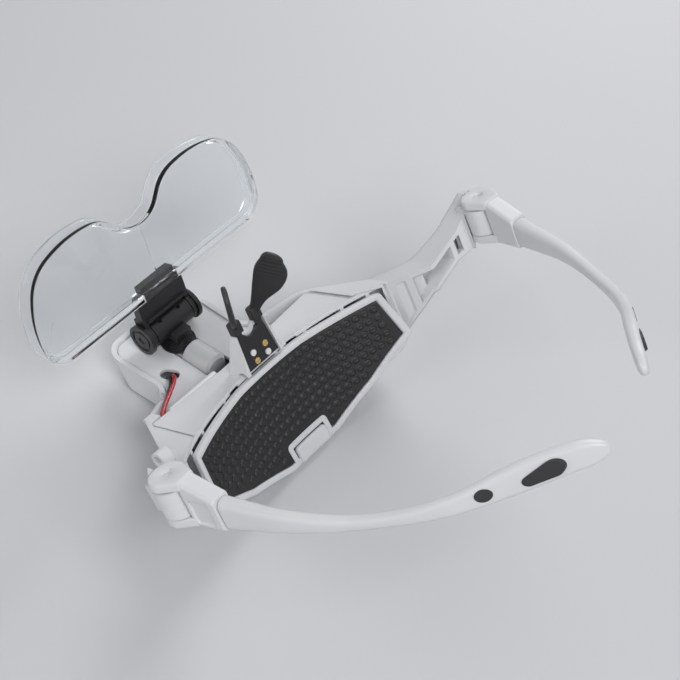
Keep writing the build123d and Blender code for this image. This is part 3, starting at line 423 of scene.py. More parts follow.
# %% Outline
class Outline:
    """A closed outline: straight edges, and at each corner an arc that touches both."""

    def __init__(self, corners, radii):
        self.corners = np.asarray(corners, float)
        self.radii = np.broadcast_to(np.asarray(radii, float), len(self.corners))

    def runs(self):
        """Direction of each edge, from its corner to the next."""
        run = np.roll(self.corners, -1, 0) - self.corners
        return run / np.linalg.norm(run, axis=1)[:, None]

    def drawn_in(self, amount):
        """Every edge moved inwards; a corner moves along the mean of its two edge normals."""
        run = self.runs()
        inward = np.stack([-run[:, 1], run[:, 0]], 1)
        before = np.roll(inward, 1, 0)
        lean = (inward + before) / (1 + (inward * before).sum(1))[:, None]
        run_before = np.roll(run, 1, 0)
        bend = np.sign(run_before[:, 0] * run[:, 1] - run_before[:, 1] * run[:, 0])
        radii = np.maximum(self.radii - bend * amount, 0.15)
        return Outline(self.corners + amount * lean, radii)

    def at(self, places):
        """Points at those places: start of the arc turned about its centre, or along the edge."""
        number = np.floor(places).astype(int) % len(self.corners)
        share = places - np.floor(places)
        run = self.runs()
        before = np.roll(run, 1, 0)
        cross = before[:, 0] * run[:, 1] - before[:, 1] * run[:, 0]
        turn = np.arctan2(cross, (before * run).sum(1))
        cut = (self.radii * np.tan(np.abs(turn) / 2))[:, None]
        start, end = self.corners - before * cut, self.corners + run * cut
        square = np.stack([-before[:, 1], before[:, 0]], 1) * np.sign(turn)[:, None]
        centre = start + square * self.radii[:, None]
        angle = (turn[number] * np.clip(2 * share, 0, 1))[:, None]
        spoke = (start - centre)[number]
        turned = spoke * np.cos(angle) + np.stack([-spoke[:, 1], spoke[:, 0]], 1) * np.sin(angle)
        along = np.clip(2 * share - 1, 0, 1)[:, None]
        straight = end[number] * (1 - along) + np.roll(start, -1, 0)[number] * along
        return np.where((share < 0.5)[:, None], centre[number] + turned, straight)


def facing_places(outline, right, left, count, even):
    """Places in pairs that face each other across the outline, and each pair's share across.

    Right and left are the places on the two end edges where the lower and upper half meet.
    A point's share is a mix of its across over the widest across and of how far it is round its
    half. The lower half is stepped evenly, and the upper half takes the same shares."""
    lower = np.linspace(left, right + len(outline.corners), 6000)
    upper = np.linspace(right, left, 6000)
    halves = []
    for dense, first in ((lower, -1), (upper, 1)):
        points = outline.at(dense)
        travelled = np.r_[0, np.cumsum(np.linalg.norm(np.diff(points, axis=0), axis=1))]
        round_share = first * (1 - 2 * travelled / travelled[-1])
        across_share = points[:, 0] / np.abs(points[:, 0]).max()
        halves.append((round_share, (1 - even) * across_share + even * round_share))
    low_places = np.interp(np.linspace(-1, 1, count + 1), halves[0][0], lower)
    shares = np.interp(low_places, lower, halves[0][1])
    high_places = np.interp(-shares[::-1], -halves[1][1], upper)
    places = np.r_[high_places[:-1], low_places[:-1]]
    return places, np.r_[shares[::-1][:-1], shares[:-1]]


print("a square's places:", Outline([(0, 0), (1, 0), (1, 1), (0, 1)], 0.1).at(np.arange(4.0)))

# %% [markdown]
# ## From rows of points to a piece
# A moulding is stored as rows of points: each row is one closed loop, and neighbouring rows are
# joined by four-sided faces. The first and last rows either fold shut along the middle of the
# piece or get one flat face. Doubled points are merged and the faces turned outwards afterwards,
# and edges sharper than a set angle stay crisp. Each piece then takes its slot's finish, rides on
# its body, and hides the imported solid that it stands for.

# %% Rows to a piece
CRISP = math.radians(38)


def skin(name, rows, slot_name, body, replaced=(), flat_ends=False):
    """A closed piece from an array of loops, row by row, in metres."""
    rows = np.asarray(rows)
    count, size = rows.shape[:2]
    corner = np.arange(count * size).reshape(count, size)
    ahead = np.roll(corner, -1, 1)
    quads = np.stack([corner[:-1], ahead[:-1], ahead[1:], corner[1:]], -1).reshape(-1, 4)
    faces = quads.tolist()
    if flat_ends:
        faces += [corner[0][::-1].tolist(), corner[-1].tolist()]
    mesh = bpy.data.meshes.new(name)
    mesh.from_pydata(rows.reshape(-1, 3), [], faces)
    work = bmesh.new()
    work.from_mesh(mesh)
    bmesh.ops.remove_doubles(work, verts=work.verts, dist=1e-6)
    bmesh.ops.dissolve_degenerate(work, edges=work.edges, dist=1e-7)
    bmesh.ops.recalc_face_normals(work, faces=work.faces)
    work.to_mesh(mesh)
    work.free()
    mesh.polygons.foreach_set("use_smooth", np.ones(len(mesh.polygons), bool))
    mesh.set_sharp_from_angle(angle=CRISP)
    made = bpy.data.objects.new(name, mesh)
    bpy.context.scene.collection.objects.link(made)
    made.data.materials.append(finishes[slot_name])
    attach(made, body)
    if replaced:
        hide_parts(*replaced)
    return made


def plate_rows(outline, places, profile):
    """Each profile step (inset, depth) as a loop of across, up and depth."""
    loops = [np.c_[outline.drawn_in(inset).at(places), np.full(len(places), depth)]
             for inset, depth in profile]
    return np.array(loops)


def shut(loop, shares, spread, level, steps):
    """Rows from a loop to a straight line across its middle, evenly shared out."""
    middle = np.c_[spread * shares, np.full(len(shares), level), loop[:, 2]]
    share = np.linspace(0, 1, steps + 1)[1:, None, None]
    return loop * (1 - share) + middle * share


def even_places(outline, count):
    """Places at even steps of length all round an outline."""
    dense = np.linspace(0, len(outline.corners), 8000)
    points = outline.at(dense)
    travelled = np.r_[0, np.cumsum(np.linalg.norm(np.diff(points, axis=0), axis=1))]
    return np.interp(np.linspace(0, travelled[-1], count + 1)[:-1], travelled, dense)


def block(name, origin, directions, outline, low, high, edge, slot_name, body, replaced=()):
    """A flat block: an outline carried from low to high, with its high edge rounded."""
    places = even_places(outline, 96)
    profile = [(0.0, low), (0.0, high - edge)]
    profile += [(edge * (1 - math.cos(a)), high - edge * (1 - math.sin(a)))
                for a in np.linspace(0, math.pi / 2, 5)[1:]]
    rows = plate_rows(outline, places, profile)
    points = place(origin, directions, rows[..., 0], rows[..., 1], rows[..., 2])
    return skin(name, points, slot_name, body, replaced, flat_ends=True)


def rectangle(half_wide, half_tall, radius, across=0.0, up=0.0):
    """An upright rectangle's outline about a point."""
    corners = [(1, -1), (1, 1), (-1, 1), (-1, -1)]
    sized = np.array(corners) * (half_wide, half_tall) + (across, up)
    return Outline(sized, radius)


print("helpers ready")

# %% [markdown]
# ## The magnifying lens
# The lens is one clear moulding for both eyes: a thin plate with a deep rim round it, and a
# shallow dome in front of each eye. Its section is carried round the outline: rear face, rounded
# outer wall, rim, inner wall, then the plate up to a line through both eyes. All edges of the rim
# are rounded, because it is those small curves that catch the light on clear plastic. The two
# domes meet in a fine groove, and the rim is left out where the clip holds the lens.

# %% Magnifying lens
LENS_LEAN = math.radians(16)
LENS_ORIGIN = np.array([0.0, -31.6, 40.1])
LENS_UP = np.array([0.0, -math.sin(LENS_LEAN), math.cos(LENS_LEAN)])
LENS_AHEAD = np.array([0.0, -math.cos(LENS_LEAN), -math.sin(LENS_LEAN)])
LENS_DEEP, LENS_PLATE, LENS_RIM = 8.5, 3.0, 1.9
EYE_HALF, EYE_UP, DOME_HIGH, DOME_REACH = 27.7, 19.2, 1.7, 34.1
SEAM_DEEP, SEAM_HALF = 0.14, 0.3

LENS_EDGE, LENS_FILLET, LENS_MIDDLE, LENS_SHUT = 0.75, 0.9, 17.0, 0.86
FLAT_HALF, FLAT_UP, FLAT_HIGH = 8.65, 0.46, 3.15
LENS_POINTS, FRONT_STEPS, REAR_STEPS = 420, 44, 16

lens_half = np.array(
    [(54.2, -1.6), (56.7, 18.1), (48.5, 36.9), (30.9, 41.4), (15.5, 39.5), (6.9, 29)]
)
lens_corners = np.r_[lens_half, [(0, 27.5)], lens_half[::-1] * (-1, 1)]
lens_radii = np.array([9.5, 38, 18, 42, 15, 11])
lens_outline = Outline(lens_corners, np.r_[lens_radii, 11, lens_radii[::-1]])
places, shares = facing_places(lens_outline, 0.75, 11.75, LENS_POINTS, 0.15)


def quarter(start, end, bulge_first, steps=6):
    """A quarter round from start to end; bulge_first says whether the inset moves first."""
    angle = np.linspace(0, math.pi / 2, steps)[1:]
    first, second = np.sin(angle), 1 - np.cos(angle)
    inset_share, depth_share = (first, second) if bulge_first else (second, first)
    inset = start[0] + (end[0] - start[0]) * inset_share
    depth = start[1] + (end[1] - start[1]) * depth_share
    return [start] + list(zip(inset, depth))


def rim_profile(rim, deep, floor, edge, fillet):
    """Section of a rimmed plate from its rear edge over the rim to the foot of its inner wall."""
    rear = quarter((edge, 0.0), (0.0, edge), True)
    crest = quarter((0.0, deep - edge), (edge, deep), False)
    inner = quarter((rim - edge, deep), (rim, deep - edge), True)
    foot = quarter((rim, floor + fillet), (rim + fillet, floor), False)
    return rear + crest + inner + foot


profile = rim_profile(LENS_RIM, LENS_DEEP, LENS_PLATE, LENS_EDGE, LENS_FILLET)
rim_rows = plate_rows(lens_outline, places, profile)
spread = LENS_SHUT * lens_corners[:, 0].max()
front_rows = shut(rim_rows[-1], shares, spread, LENS_MIDDLE, FRONT_STEPS)
rear_rows = shut(rim_rows[0], shares, spread, LENS_MIDDLE, REAR_STEPS)[::-1]


def dome(across, up):
    """Height of the nearer eye's dome: a sphere's cap over the plate."""
    apart = np.hypot(np.abs(across) - EYE_HALF, up - EYE_UP)
    radius = (DOME_REACH**2 + DOME_HIGH**2) / (2 * DOME_HIGH)
    return np.maximum(np.sqrt(radius**2 - np.minimum(apart, radius) ** 2) - radius + DOME_HIGH, 0)


lens_rows = np.concatenate([rear_rows, rim_rows, front_rows])
FOOT_ROWS = 6
inside = lens_rows[len(rear_rows) + len(rim_rows) - FOOT_ROWS:]
inside[..., 2] += dome(inside[..., 0], inside[..., 1])
inside[..., 2] -= SEAM_DEEP * np.exp(-((inside[..., 0] / SEAM_HALF) ** 2))
across, up, deep = np.moveaxis(lens_rows, -1, 0)
under_clip = (np.abs(across) < FLAT_HALF) & (up < FLAT_UP)
deep = np.where(under_clip, np.minimum(deep, FLAT_HIGH), deep)
lens_points = place(LENS_ORIGIN, (ACROSS, LENS_UP, LENS_AHEAD), across, up, deep)
lens_piece = skin("clear_lens", lens_points, "clear_plastic", "lens_unit", ["magnifier_lens"])
print("lens faces:", len(lens_piece.data.polygons))

# %% [markdown]
# ## The curved battery cover and its foam pad
# The cover bends round the forehead, so its surface is a piece of a cylinder. A point on it is
# given by its straight distance across, its drop from the top edge and its depth behind the
# visible face. The white cover is a tray with a rounded rim. The foam pad lies in the tray, with
# rows of small round buttons, each with a dimple in its middle. The rows run level with the
# pad's top edge. A button's height is a rounded cap of its distance from its own centre.

# %% Battery cover
BEND = 97.6
BAY = math.radians(36)
BAY_BACK = np.array([0.0, math.cos(BAY), math.sin(BAY)])
BAY_NOSE = np.array([0.0, -math.sin(BAY), math.cos(BAY)])
BAY_ORIGIN = HINGES - 49 * BACK - 24.5 * NOSE


def bent(rows):
    """Across, drop and depth on the cover's cylinder, as points of the model's frame."""
    across, up, depth = rows[..., 0], rows[..., 1], rows[..., 2]
    back = BEND - np.sqrt((BEND + depth) ** 2 - across**2)
    return place(BAY_ORIGIN, (ACROSS, BAY_BACK, BAY_NOSE), across, back, up)


def both_ends_shut(rows, shares, spread, level, first_steps, last_steps):
    """The rows with their first and last loops drawn shut on a middle line."""
    first = shut(rows[0], shares, spread, level, first_steps)[::-1]
    return np.concatenate([first, rows, shut(rows[-1], shares, spread, level, last_steps)])


COVER_DEEP, TRAY_FLOOR, COVER_RIM, COVER_EDGE, TRAY_FILLET = 3.0, 1.4, 2.3, 0.5, 0.3
COVER_SHUT, COVER_MIDDLE, COVER_STEPS = 46.0, -16.0, 10
cover_half = np.array([(12.8, -38.8), (34, -32.4), (53.3, -23), (49.8, -2.7), (16, 0)])
cover_radii = [6, 8, 1.2, 1.2, 14]
cover_outline = Outline(
    np.r_[cover_half, cover_half[::-1] * (-1, 1)], cover_radii + cover_radii[::-1]
)
places, shares = facing_places(cover_outline, 2.75, 6.75, 300, 0.3)
profile = rim_profile(COVER_RIM, COVER_DEEP, TRAY_FLOOR, COVER_EDGE, TRAY_FILLET)
rim_rows = plate_rows(cover_outline, places, profile)
rows = both_ends_shut(rim_rows, shares, COVER_SHUT, COVER_MIDDLE, COVER_STEPS, COVER_STEPS)
rows[..., 2] = COVER_DEEP - rows[..., 2]
skin("cover_shell", bent(rows), "white_plastic", "cover", ["battery_cover"])

# %% Foam pad
BUTTON_STEP, ROW_STEP, BUTTON_RADIUS, BUTTON_HIGH = 3.5, 3.58, 1.4, 0.52
BUTTON_ROOM, FIRST_ROW, DIMPLE_LOW, DIMPLE_WIDE = 0.35, 4.9, 0.2, 0.42
LATCH_CLEAR_HALF, LATCH_CLEAR_DROP = 12.6, -28.0
PAD_INSET, PAD_SHUT, PAD_UNDER_STEPS, PAD_TOP_STEPS = 2.45, 44.0, 8, 66
pad_outline = cover_outline.drawn_in(PAD_INSET)
places, shares = facing_places(pad_outline, 2.75, 6.75, 430, 0.3)
pad_wall = [(0.3, 1.35), (0.0, 1.1), (0.0, 0.85)] + quarter((0.0, 0.85), (0.45, 0.4), False)
wall_rows = plate_rows(pad_outline, places, pad_wall)
rows = both_ends_shut(
    wall_rows, shares, PAD_SHUT, COVER_MIDDLE, PAD_UNDER_STEPS, PAD_TOP_STEPS
)


def top_slope(across):
    """How far the cover's top edge has dropped at that distance across."""
    return np.interp(np.abs(across), cover_half[:2:-1, 0], -cover_half[:2:-1, 1])


def buttons(across, up):
    """Height of the nearest button: a rounded cap less a small dimple, where a whole one fits."""
    column = np.round(across / BUTTON_STEP) * BUTTON_STEP
    line = np.round((-up - top_slope(across) - FIRST_ROW) / ROW_STEP)
    line_drop = -(line * ROW_STEP + FIRST_ROW + top_slope(column))
    centre = np.stack([column, line_drop], -1)
    run = pad_outline.runs()
    inward = np.stack([-run[:, 1], run[:, 0]], 1)
    room = np.full(across.shape, 99.0)
    for corner, normal in zip(pad_outline.corners, inward):
        room = np.minimum(room, (centre - corner) @ normal)
    over_latch = (np.abs(column) < LATCH_CLEAR_HALF) & (line_drop < LATCH_CLEAR_DROP)
    whole = (room > BUTTON_RADIUS + BUTTON_ROOM) & ~over_latch
    apart = np.hypot(across - column, up - line_drop)
    cap = np.clip(1 - (apart / BUTTON_RADIUS) ** 4, 0, 1) ** 0.5 * BUTTON_HIGH
    return np.where(whole, cap - DIMPLE_LOW * np.exp(-((apart / DIMPLE_WIDE) ** 2)), 0)


top = rows[PAD_UNDER_STEPS + len(wall_rows):]
top[..., 2] -= buttons(top[..., 0], top[..., 1])
pad_piece = skin("soft_pad", bent(rows), "foam", "cover", ["foam_pad"])
print("foam pad faces:", len(pad_piece.data.polygons))

# %% [markdown]
# ## Latch and the rim round it
# The cover opens with a short springy tongue at its lower edge. The white rim steps round it, and
# the tongue stands a little proud so that a fingertip finds it. The step hides the foam there.
# Both are bent with the cover, so their rows go through the same function.

# %% Latch
LATCH_HALF, LATCH_HIGH, LATCH_LOW_EDGE, LATCH_BACK = 8.0, 6.4, -38.8, 2.8
STEP_RIM, STEP_HALF_TALL, STEP_UP, LATCH_POINTS = 2.6, 4.5, 4.53, 90
STEP_MIDDLE, TONGUE_MIDDLE = -34.3, -35.6
step_outline = rectangle(
    LATCH_HALF + STEP_RIM, STEP_HALF_TALL, [0.4, 1.8, 1.8, 0.4], 0, LATCH_LOW_EDGE + STEP_UP
)
places, shares = facing_places(step_outline, 0.75, 2.75, LATCH_POINTS, 0.5)
step_crest = quarter((0.0, 0.4), (0.4, 0.0), False) + quarter((1.9, 0.0), (2.2, 0.3), True)
step_rows = plate_rows(step_outline, places, [(0.0, LATCH_BACK), *step_crest, (2.25, 2.4)])
rear = shut(step_rows[0], shares, 9.0, STEP_MIDDLE, 6)[::-1]
front = shut(step_rows[-1], shares, 7.0, STEP_MIDDLE, 6)
skin("latch_surround", bent(np.concatenate([rear, step_rows, front])), "white_plastic", "cover")

TONGUE_PROUD, TONGUE_EDGE = 1.2, 0.9
tongue_outline = rectangle(
    LATCH_HALF, LATCH_HIGH / 2, [0.9, 1.3, 1.3, 0.9], 0, LATCH_LOW_EDGE + LATCH_HIGH / 2
)
places, shares = facing_places(tongue_outline, 0.75, 2.75, LATCH_POINTS, 0.5)
crest = quarter((0.0, TONGUE_EDGE - TONGUE_PROUD), (TONGUE_EDGE, -TONGUE_PROUD), False, 8)
tongue_rows = plate_rows(tongue_outline, places, [(0.0, LATCH_BACK), *crest])
rows = both_ends_shut(tongue_rows, shares, 6.0, TONGUE_MIDDLE, 5, 8)
skin("latch_tongue", bent(rows), "white_plastic", "cover", ["cover_latch"])
print("latch rows:", len(rows))

# %% [markdown]
# ## Temple arms
# An arm is long, thin and rounded, so its section is a rounded rectangle carried along a curved
# line. A few stations give how far in the line lies, the section's half thickness and its two
# edges, and a smooth curve runs through each of those lists. At the tip both edges close on the
# end point along an ellipse, so the arm ends in a round. The same function makes both arms.

# %% Temple arms
def through(knots, values, wanted):
    """A smooth curve through the values: a cubic between each pair, sloped like its neighbours."""
    knots, values = np.asarray(knots, float), np.asarray(values, float)
    slope = np.gradient(values, knots)
    left = np.clip(np.searchsorted(knots, wanted, "right") - 1, 0, len(knots) - 2)
    width = knots[left + 1] - knots[left]
    share = (wanted - knots[left]) / width
    rise = values[left + 1] - values[left]
    start_bend = slope[left] * width - rise
    end_bend = -slope[left + 1] * width + rise
    curve = start_bend * (1 - share) + end_bend * share
    return values[left] + share * rise + share * (1 - share) * curve


def carried(middle, sideways, upwards, half, low, high, radius, steps=8):
    """Rows of a rounded rectangle along a line.

    Each row's middle is moved sideways by up to half and upwards from low to high, and each
    corner is a quarter circle of that row's radius."""
    angle = np.concatenate([np.linspace(q, q + 1, steps) for q in range(4)]) * math.pi / 2
    sign_side = np.repeat([1, -1, -1, 1], steps)
    sign_up = np.repeat([1, 1, -1, -1], steps)
    tall, centre = (high - low) / 2, (high + low) / 2
    corner = np.minimum(radius, np.minimum(half, tall))[:, None]
    side = sign_side * (half[:, None] - corner) + corner * np.cos(angle)
    up = centre[:, None] + sign_up * (tall[:, None] - corner) + corner * np.sin(angle)
    sideways, upwards = (np.broadcast_to(way, middle.shape) for way in (sideways, upwards))
    return (
        middle[:, None] + side[..., None] * sideways[:, None] + up[..., None] * upwards[:, None]
    ) / 1000


NEAR_TURN, FAR_TURN = 4.5, 12.6
ALONG = [20.3, 45, 68, 90, 110, 119.5, 127.8]
INWARD = [0, 2.7, 9.2, 18.9, 33.1, 40.2, 45.9]
HALF_THICK = [3.0, 2.3, 2.1, 1.9, 2.0, 1.9, 1.7]
TOP_EDGE = [2.4, -1.2, -3.4, -1.1, 4.3, 5.1]
LOW_EDGE = [-8.5, -7.9, -7.5, -6.9, -5.0, -3.6]
TIP_RISE, END, TIP = 0.8, 119.5, 127.8
FIRST_ALONG, FIRST_INSET = [20.3, 20.36, 20.5, 20.75], [0.45, 0.25, 0.1, 0.0]
STATIONS, ARM_ROUND = 90, 0.85


def arm_directions(side, turn):
    """Origin at the knuckle, outwards and along for an arm whose hinge is turned."""
    turn = math.radians(turn)
    outward = side * math.cos(turn) * ACROSS + math.sin(turn) * BACK
    along_arm = -side * math.sin(turn) * ACROSS + math.cos(turn) * BACK
    return HINGES + side * HINGE_HALF * ACROSS + KNUCKLE * NOSE, outward, along_arm


def temple_arm(name, side, turn, body, node):
    """The arm beyond its root, on one side, with its hinge turned by that angle."""
    origin, outward, along_arm = arm_directions(side, turn)
    round_end = np.linspace(0, math.pi / 2, 14)[1:]
    blade, tip = np.linspace(21.2, END, STATIONS), END + (TIP - END) * np.sin(round_end)
    along = np.r_[FIRST_ALONG, blade, tip]
    inset = np.r_[FIRST_INSET, np.zeros(len(blade) + len(tip))]
    closing = np.r_[np.ones(len(FIRST_INSET) + len(blade)), np.cos(round_end)]
    inward = through(ALONG, INWARD, along)
    half = through(ALONG, HALF_THICK, along) * np.sqrt(closing) - inset
    high, low = (
        TIP_RISE + (through(ALONG[:-1], edge, np.minimum(along, END)) - TIP_RISE) * closing
        for edge in (TOP_EDGE, LOW_EDGE)
    )
    middle = origin - inward[:, None] * outward + along[:, None] * along_arm
    run = np.gradient(middle, axis=0)
    run /= np.linalg.norm(run, axis=1)[:, None]
    square = np.cross(run, NOSE) * side
    rows = carried(middle, square, NOSE, half, low + inset, high - inset, ARM_ROUND * half)
    made = skin(name, rows, "white_plastic", body, [node], flat_ends=True)
    print(name, "faces:", len(made.data.polygons))


temple_arm("near_arm_blade", 1, NEAR_TURN, "near_arm", "near_temple_arm")
temple_arm("far_arm_blade", -1, FAR_TURN, "far_arm", "far_temple_arm")

# %% [markdown]
# ## Hinge roots
# Each arm begins in a root that holds the hinge pin between two ears. The root is a slab whose
# top edge falls from the ears to the arm, with a shallow window on its outer face. An ear is a
# disc that runs out into the slab, with a rounded edge and a round dimple over the pin. The slab
# uses the arm's own section, with more points along its sides, so that the window can be pressed
# into them by arithmetic.

# %% Hinge roots
ROOT_START, ROOT_LENGTH, ROOT_HALF, ROOT_LOW, ROOT_HIGH, ROOT_EDGE = 7.1, 20.0, 3.4, -8.5, 2.9, 0.6
EAR_RADIUS, EAR_LOW, EAR_HIGH, EAR_EDGE = 6.4, 5.4, 8.55, 0.9
WINDOW_ALONG, WINDOW_LEVEL, WINDOW_LONG, WINDOW_TALL = 12.6, -2.6, 4.2, 4.3
WINDOW_DEEP, WINDOW_ROUND, WINDOW_WALL = 0.75, 1.3, 0.45
DIMPLE_RADIUS, DIMPLE_DEEP, DIMPLE_EDGE = 1.9, 1.1, 0.25
ROD_RADIUS, ROD_HALF, ROD_EDGE = 1.4, 7.3, 0.3
SLAB_ROUND, SLAB_STATIONS, SLAB_SIDE_POINTS = 1.3, 88, 44
SLAB_FALL_FROM, SLAB_BELOW_EAR = 7.6, 0.35
EAR_STRAIGHT, EAR_REACH, EAR_POINTS, ARC_POINTS = 0.6, 8.4, 120, 8


def stepped(rows, steps, count):
    """The same section with count more points on each side: a straight run from arc to arc."""
    share = np.linspace(0, 1, count + 2)[1:-1, None]
    parts = []
    for quarter_turn in range(4):
        first = quarter_turn * steps
        arc = rows[:, first:first + steps]
        ahead = rows[:, (first + steps) % (4 * steps)][:, None]
        parts += [arc, arc[:, -1:] * (1 - share) + ahead * share]
    return np.concatenate(parts, axis=1)


def window_share(along, level):
    """1 inside a rounded rectangle, 0 outside, from the distance to its edge."""
    apart = np.stack([np.abs(along - WINDOW_ALONG) - WINDOW_LONG,
                      np.abs(level - WINDOW_LEVEL) - WINDOW_TALL]) + WINDOW_ROUND
    outside = np.linalg.norm(np.maximum(apart, 0), axis=0)
    beyond = outside + np.minimum(apart.max(axis=0), 0) - WINDOW_ROUND
    return np.clip(0.5 - beyond / WINDOW_WALL, 0, 1)


def root_slab(name, side, turn, body, node):
    """The slab from inside the ears to the arm, with its window."""
    origin, outward, along_arm = arm_directions(side, turn)
    angle = np.linspace(0, math.pi / 2, 6)[1:]
    straight = np.linspace(ROOT_START, ROOT_LENGTH - ROOT_EDGE, SLAB_STATIONS)
    along = np.r_[straight, ROOT_LENGTH - ROOT_EDGE + ROOT_EDGE * np.sin(angle)]
    inset = np.r_[np.zeros(SLAB_STATIONS), ROOT_EDGE * (1 - np.cos(angle))]
    fall = [EAR_HIGH - SLAB_BELOW_EAR, ROOT_HIGH]
    high = np.interp(along, [SLAB_FALL_FROM, ROOT_LENGTH], fall) - inset
    low = np.full(len(along), ROOT_LOW) + inset
    half = np.full(len(along), ROOT_HALF) - inset
    middle = origin + along[:, None] * along_arm
    rows = carried(middle, outward, NOSE, half, low, high, np.full(len(along), SLAB_ROUND))
    rows = stepped(rows, ARC_POINTS, SLAB_SIDE_POINTS)
    apart = 1000 * rows - origin
    out, run, level = apart @ outward, apart @ along_arm, apart @ NOSE
    pressed = np.where(out > ROOT_HALF - 0.2, WINDOW_DEEP * window_share(run, level), 0)
    rows = rows - pressed[..., None] * outward / 1000
    made = skin(name, rows, "white_plastic", body, [node], flat_ends=True)
    print(name, "faces:", len(made.data.polygons))


def hinge_ear(name, side, turn, way, body, node):
    """One ear: an outline carried up, rounded over, and dipped into a dimple at the pin."""
    origin, outward, along_arm = arm_directions(side, turn)
    corners = [(-EAR_RADIUS, -EAR_RADIUS), (EAR_RADIUS, -EAR_RADIUS), (EAR_RADIUS, EAR_STRAIGHT),
               (ROOT_HALF, EAR_REACH), (-ROOT_HALF, EAR_REACH), (-EAR_RADIUS, EAR_STRAIGHT)]
    outline = Outline(corners, [EAR_RADIUS - 0.05] * 2 + [2.5, 1.2, 1.2, 2.5])
    places = even_places(outline, EAR_POINTS)
    profile = [(0.4, EAR_LOW), (0.0, EAR_LOW + 0.3), (0.0, EAR_HIGH - EAR_EDGE)]
    profile += quarter((0.0, EAR_HIGH - EAR_EDGE), (EAR_EDGE, EAR_HIGH), False)[1:]
    loops = plate_rows(outline, places, profile)
    angle = np.arctan2(loops[-1, :, 1], loops[-1, :, 0])
    spoke = np.c_[np.cos(angle), np.sin(angle)]
    ring = [(DIMPLE_RADIUS + DIMPLE_EDGE, 0), (DIMPLE_RADIUS, 0.15),
            (DIMPLE_RADIUS - 0.1, DIMPLE_DEEP), (0.0, DIMPLE_DEEP)]
    dimple = [np.c_[radius * spoke, np.full(len(places), EAR_HIGH - deep)] for radius, deep in ring]
    points = place(origin, (outward, along_arm, way * NOSE),
                   *np.moveaxis(np.concatenate([loops, dimple]), -1, 0))
    skin(name, points, "white_plastic", body, [node], flat_ends=True)


def hinge_pin(name, side, turn, node):
    """A steel rod through both ears and the frame's lug between them."""
    origin, outward, along_arm = arm_directions(side, turn)
    rod = rectangle(ROD_RADIUS, ROD_RADIUS, ROD_RADIUS - 0.01)
    low_end = origin - ROD_HALF * NOSE
    block(name, low_end, (outward, along_arm, NOSE), rod, 0, 2 * ROD_HALF, ROD_EDGE,
          "steel", "frame", [node])


# %% [markdown]
# ## Both hinges
# The two sides are put together by the same calls. A steel pin runs through both ears and the
# frame's lug between them. It ends below the dimples, so it hardly shows, but the hinge is whole.

# %% Both hinges
for side, arm, turn in ((1, "near", NEAR_TURN), (-1, "far", FAR_TURN)):
    root_slab(arm + "_root_slab", side, turn, arm + "_arm", arm + "_arm_root")
    for way, end in ((1, "nose"), (-1, "brow")):
        hinge_ear(f"{arm}_ear_{end}", side, turn, way, arm + "_arm", arm + "_arm_root")
    hinge_pin(arm + "_pin_rod", side, turn, arm + "_hinge_pin")
print("hinges placed")

# %% [markdown]
# ## Nose pads
# Each pad is a thin rubber leaf on a short stem that grips a prong of the black plate. The leaf
# is the same kind of surface as an arm: a rounded section whose two edges follow the pad's
# outline, round at the end. Fine ridges cross the leaf near its tip.

# %% Nose pads
LEAF_ALONG = [0, 6.4, 13.6, 20.8, 26.6]
LEAF_BELLY = [1.7, 3.4, 7.6, 7.9, 3.6]
LEAF_BACK = [1.6, 2.2, 3.2, 3.6, 1.6]
LEAF_ROUND_FROM, LEAF_END, LEAF_STATIONS = 24.0, 27.2, 70
LEAF_HALF, LEAF_THINNER, LEAF_ROUND = 1.15, 0.25, 0.95
RIDGE_HIGH, RIDGE_STEP, RIDGE_FROM, RIDGE_FADE = 0.09, 1.5, 16, 3
PAD_ACROSS, PAD_BACK, LEAF_FOOT, STEM_FOOT, STEM_HIGH = 5.05, -49.85, -4.55, -7.0, 4.9


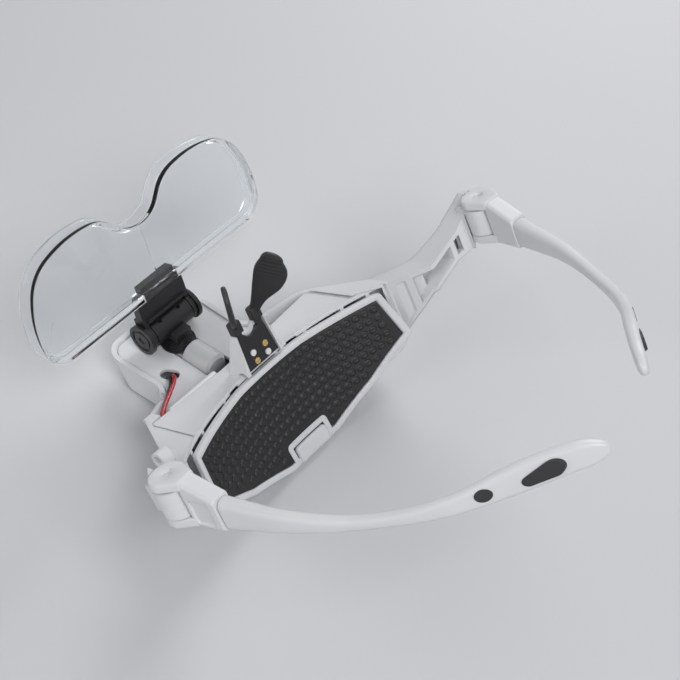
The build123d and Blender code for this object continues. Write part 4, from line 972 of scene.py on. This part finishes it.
def nose_pad(name, side, node):
    """One pad: a leaf in its own leaning plane, and a rounded stem."""
    leaf_across = side * 7.5 * ACROSS + 16.5 * BACK + 25 * NOSE
    face = side * 0.8 * ACROSS - 0.59 * BACK + 0.15 * NOSE
    face = face / np.linalg.norm(face)
    along_leaf = leaf_across - face * (leaf_across @ face)
    along_leaf = along_leaf / np.linalg.norm(along_leaf)
    width = np.cross(face, along_leaf) * side
    foot = HINGES + side * PAD_ACROSS * ACROSS + PAD_BACK * BACK
    round_end = np.linspace(0, math.pi / 2, 12)[1:]
    tip = LEAF_ROUND_FROM + (LEAF_END - LEAF_ROUND_FROM) * np.sin(round_end)
    along = np.r_[np.linspace(0, LEAF_ROUND_FROM, LEAF_STATIONS), tip]
    closing = np.r_[np.ones(LEAF_STATIONS), np.cos(round_end)]
    flat_along = np.minimum(along, LEAF_ROUND_FROM)
    belly = through(LEAF_ALONG, LEAF_BELLY, flat_along) * closing
    back_edge = through(LEAF_ALONG, LEAF_BACK, flat_along) * closing
    fade_in = np.clip((along - RIDGE_FROM) / RIDGE_FADE, 0, 1)
    ridges = RIDGE_HIGH * np.cos(2 * math.pi * along / RIDGE_STEP) * fade_in
    thick = LEAF_HALF * (1 - LEAF_THINNER * along / LEAF_END)
    half = thick * np.sqrt(closing) + ridges * closing
    middle = foot + LEAF_FOOT * NOSE + along[:, None] * along_leaf
    rows = carried(middle, face, width, half, -belly, back_edge, LEAF_ROUND * half)
    skin(name + "_leaf", rows, "pad_rubber", "frame", [node], flat_ends=True)
    stem_outline = rectangle(2.25, 1.9, 0.9)
    block(name + "_stem", foot + STEM_FOOT * NOSE, (ACROSS, BACK, NOSE), stem_outline, 0, STEM_HIGH,
          1.0, "pad_rubber", "frame", [node])


nose_pad("near_pad", 1, "nose_pad_near")
nose_pad("far_pad", -1, "nose_pad_far")
print("nose pads placed")

# %% [markdown]
# ## Lamp leads
# Two thin leads come up through the deck, bend round the neck and go under the clip tab. Each is
# one smooth curve steered by the points of its route, as thick as the lead.

# %% Leads
LEAD_RADIUS = 0.75
red_route = [
    (13.4, -18.3, 6.9),
    (14.1, -17.5, 12.3),
    (17.0, -12.4, 16.2),
    (22.9, -8.7, 17.5),
    (30.4, -4.7, 18.9),
    (36.8, -0.2, 19.6),
    (38.6, 1.2, 17.8),
]
black_route = [
    (14.4, -19.8, 6.9),
    (15.0, -19.1, 11.9),
    (17.9, -13.8, 14.2),
    (23.5, -9.6, 15.7),
    (30.6, -5.4, 17.1),
    (36.8, -1.0, 17.8),
    (38.6, 0.5, 16.1),
]


def lead(name, route, slot_name, node):
    """A smooth round cable along a route given in millimetres."""
    curve = bpy.data.curves.new(name, "CURVE")
    curve.dimensions = "3D"
    line = curve.splines.new("NURBS")
    line.points.add(len(route) - 1)
    line.points.foreach_set("co", np.c_[np.array(route) / 1000, np.ones(len(route))].ravel())
    line.order_u = 3
    line.use_endpoint_u = True
    line.resolution_u = 12
    curve.bevel_depth = LEAD_RADIUS / 1000
    curve.bevel_resolution = 5
    curve.use_fill_caps = True
    made = bpy.data.objects.new(name, curve)
    scene.collection.objects.link(made)
    made.data.materials.append(finishes[slot_name])
    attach(made, "frame")
    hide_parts(node)
    print(name, "points:", len(route))


lead("red_cable", red_route, "red_lead", "lead_red")
lead("black_cable", black_route, "black_lead", "lead_black")
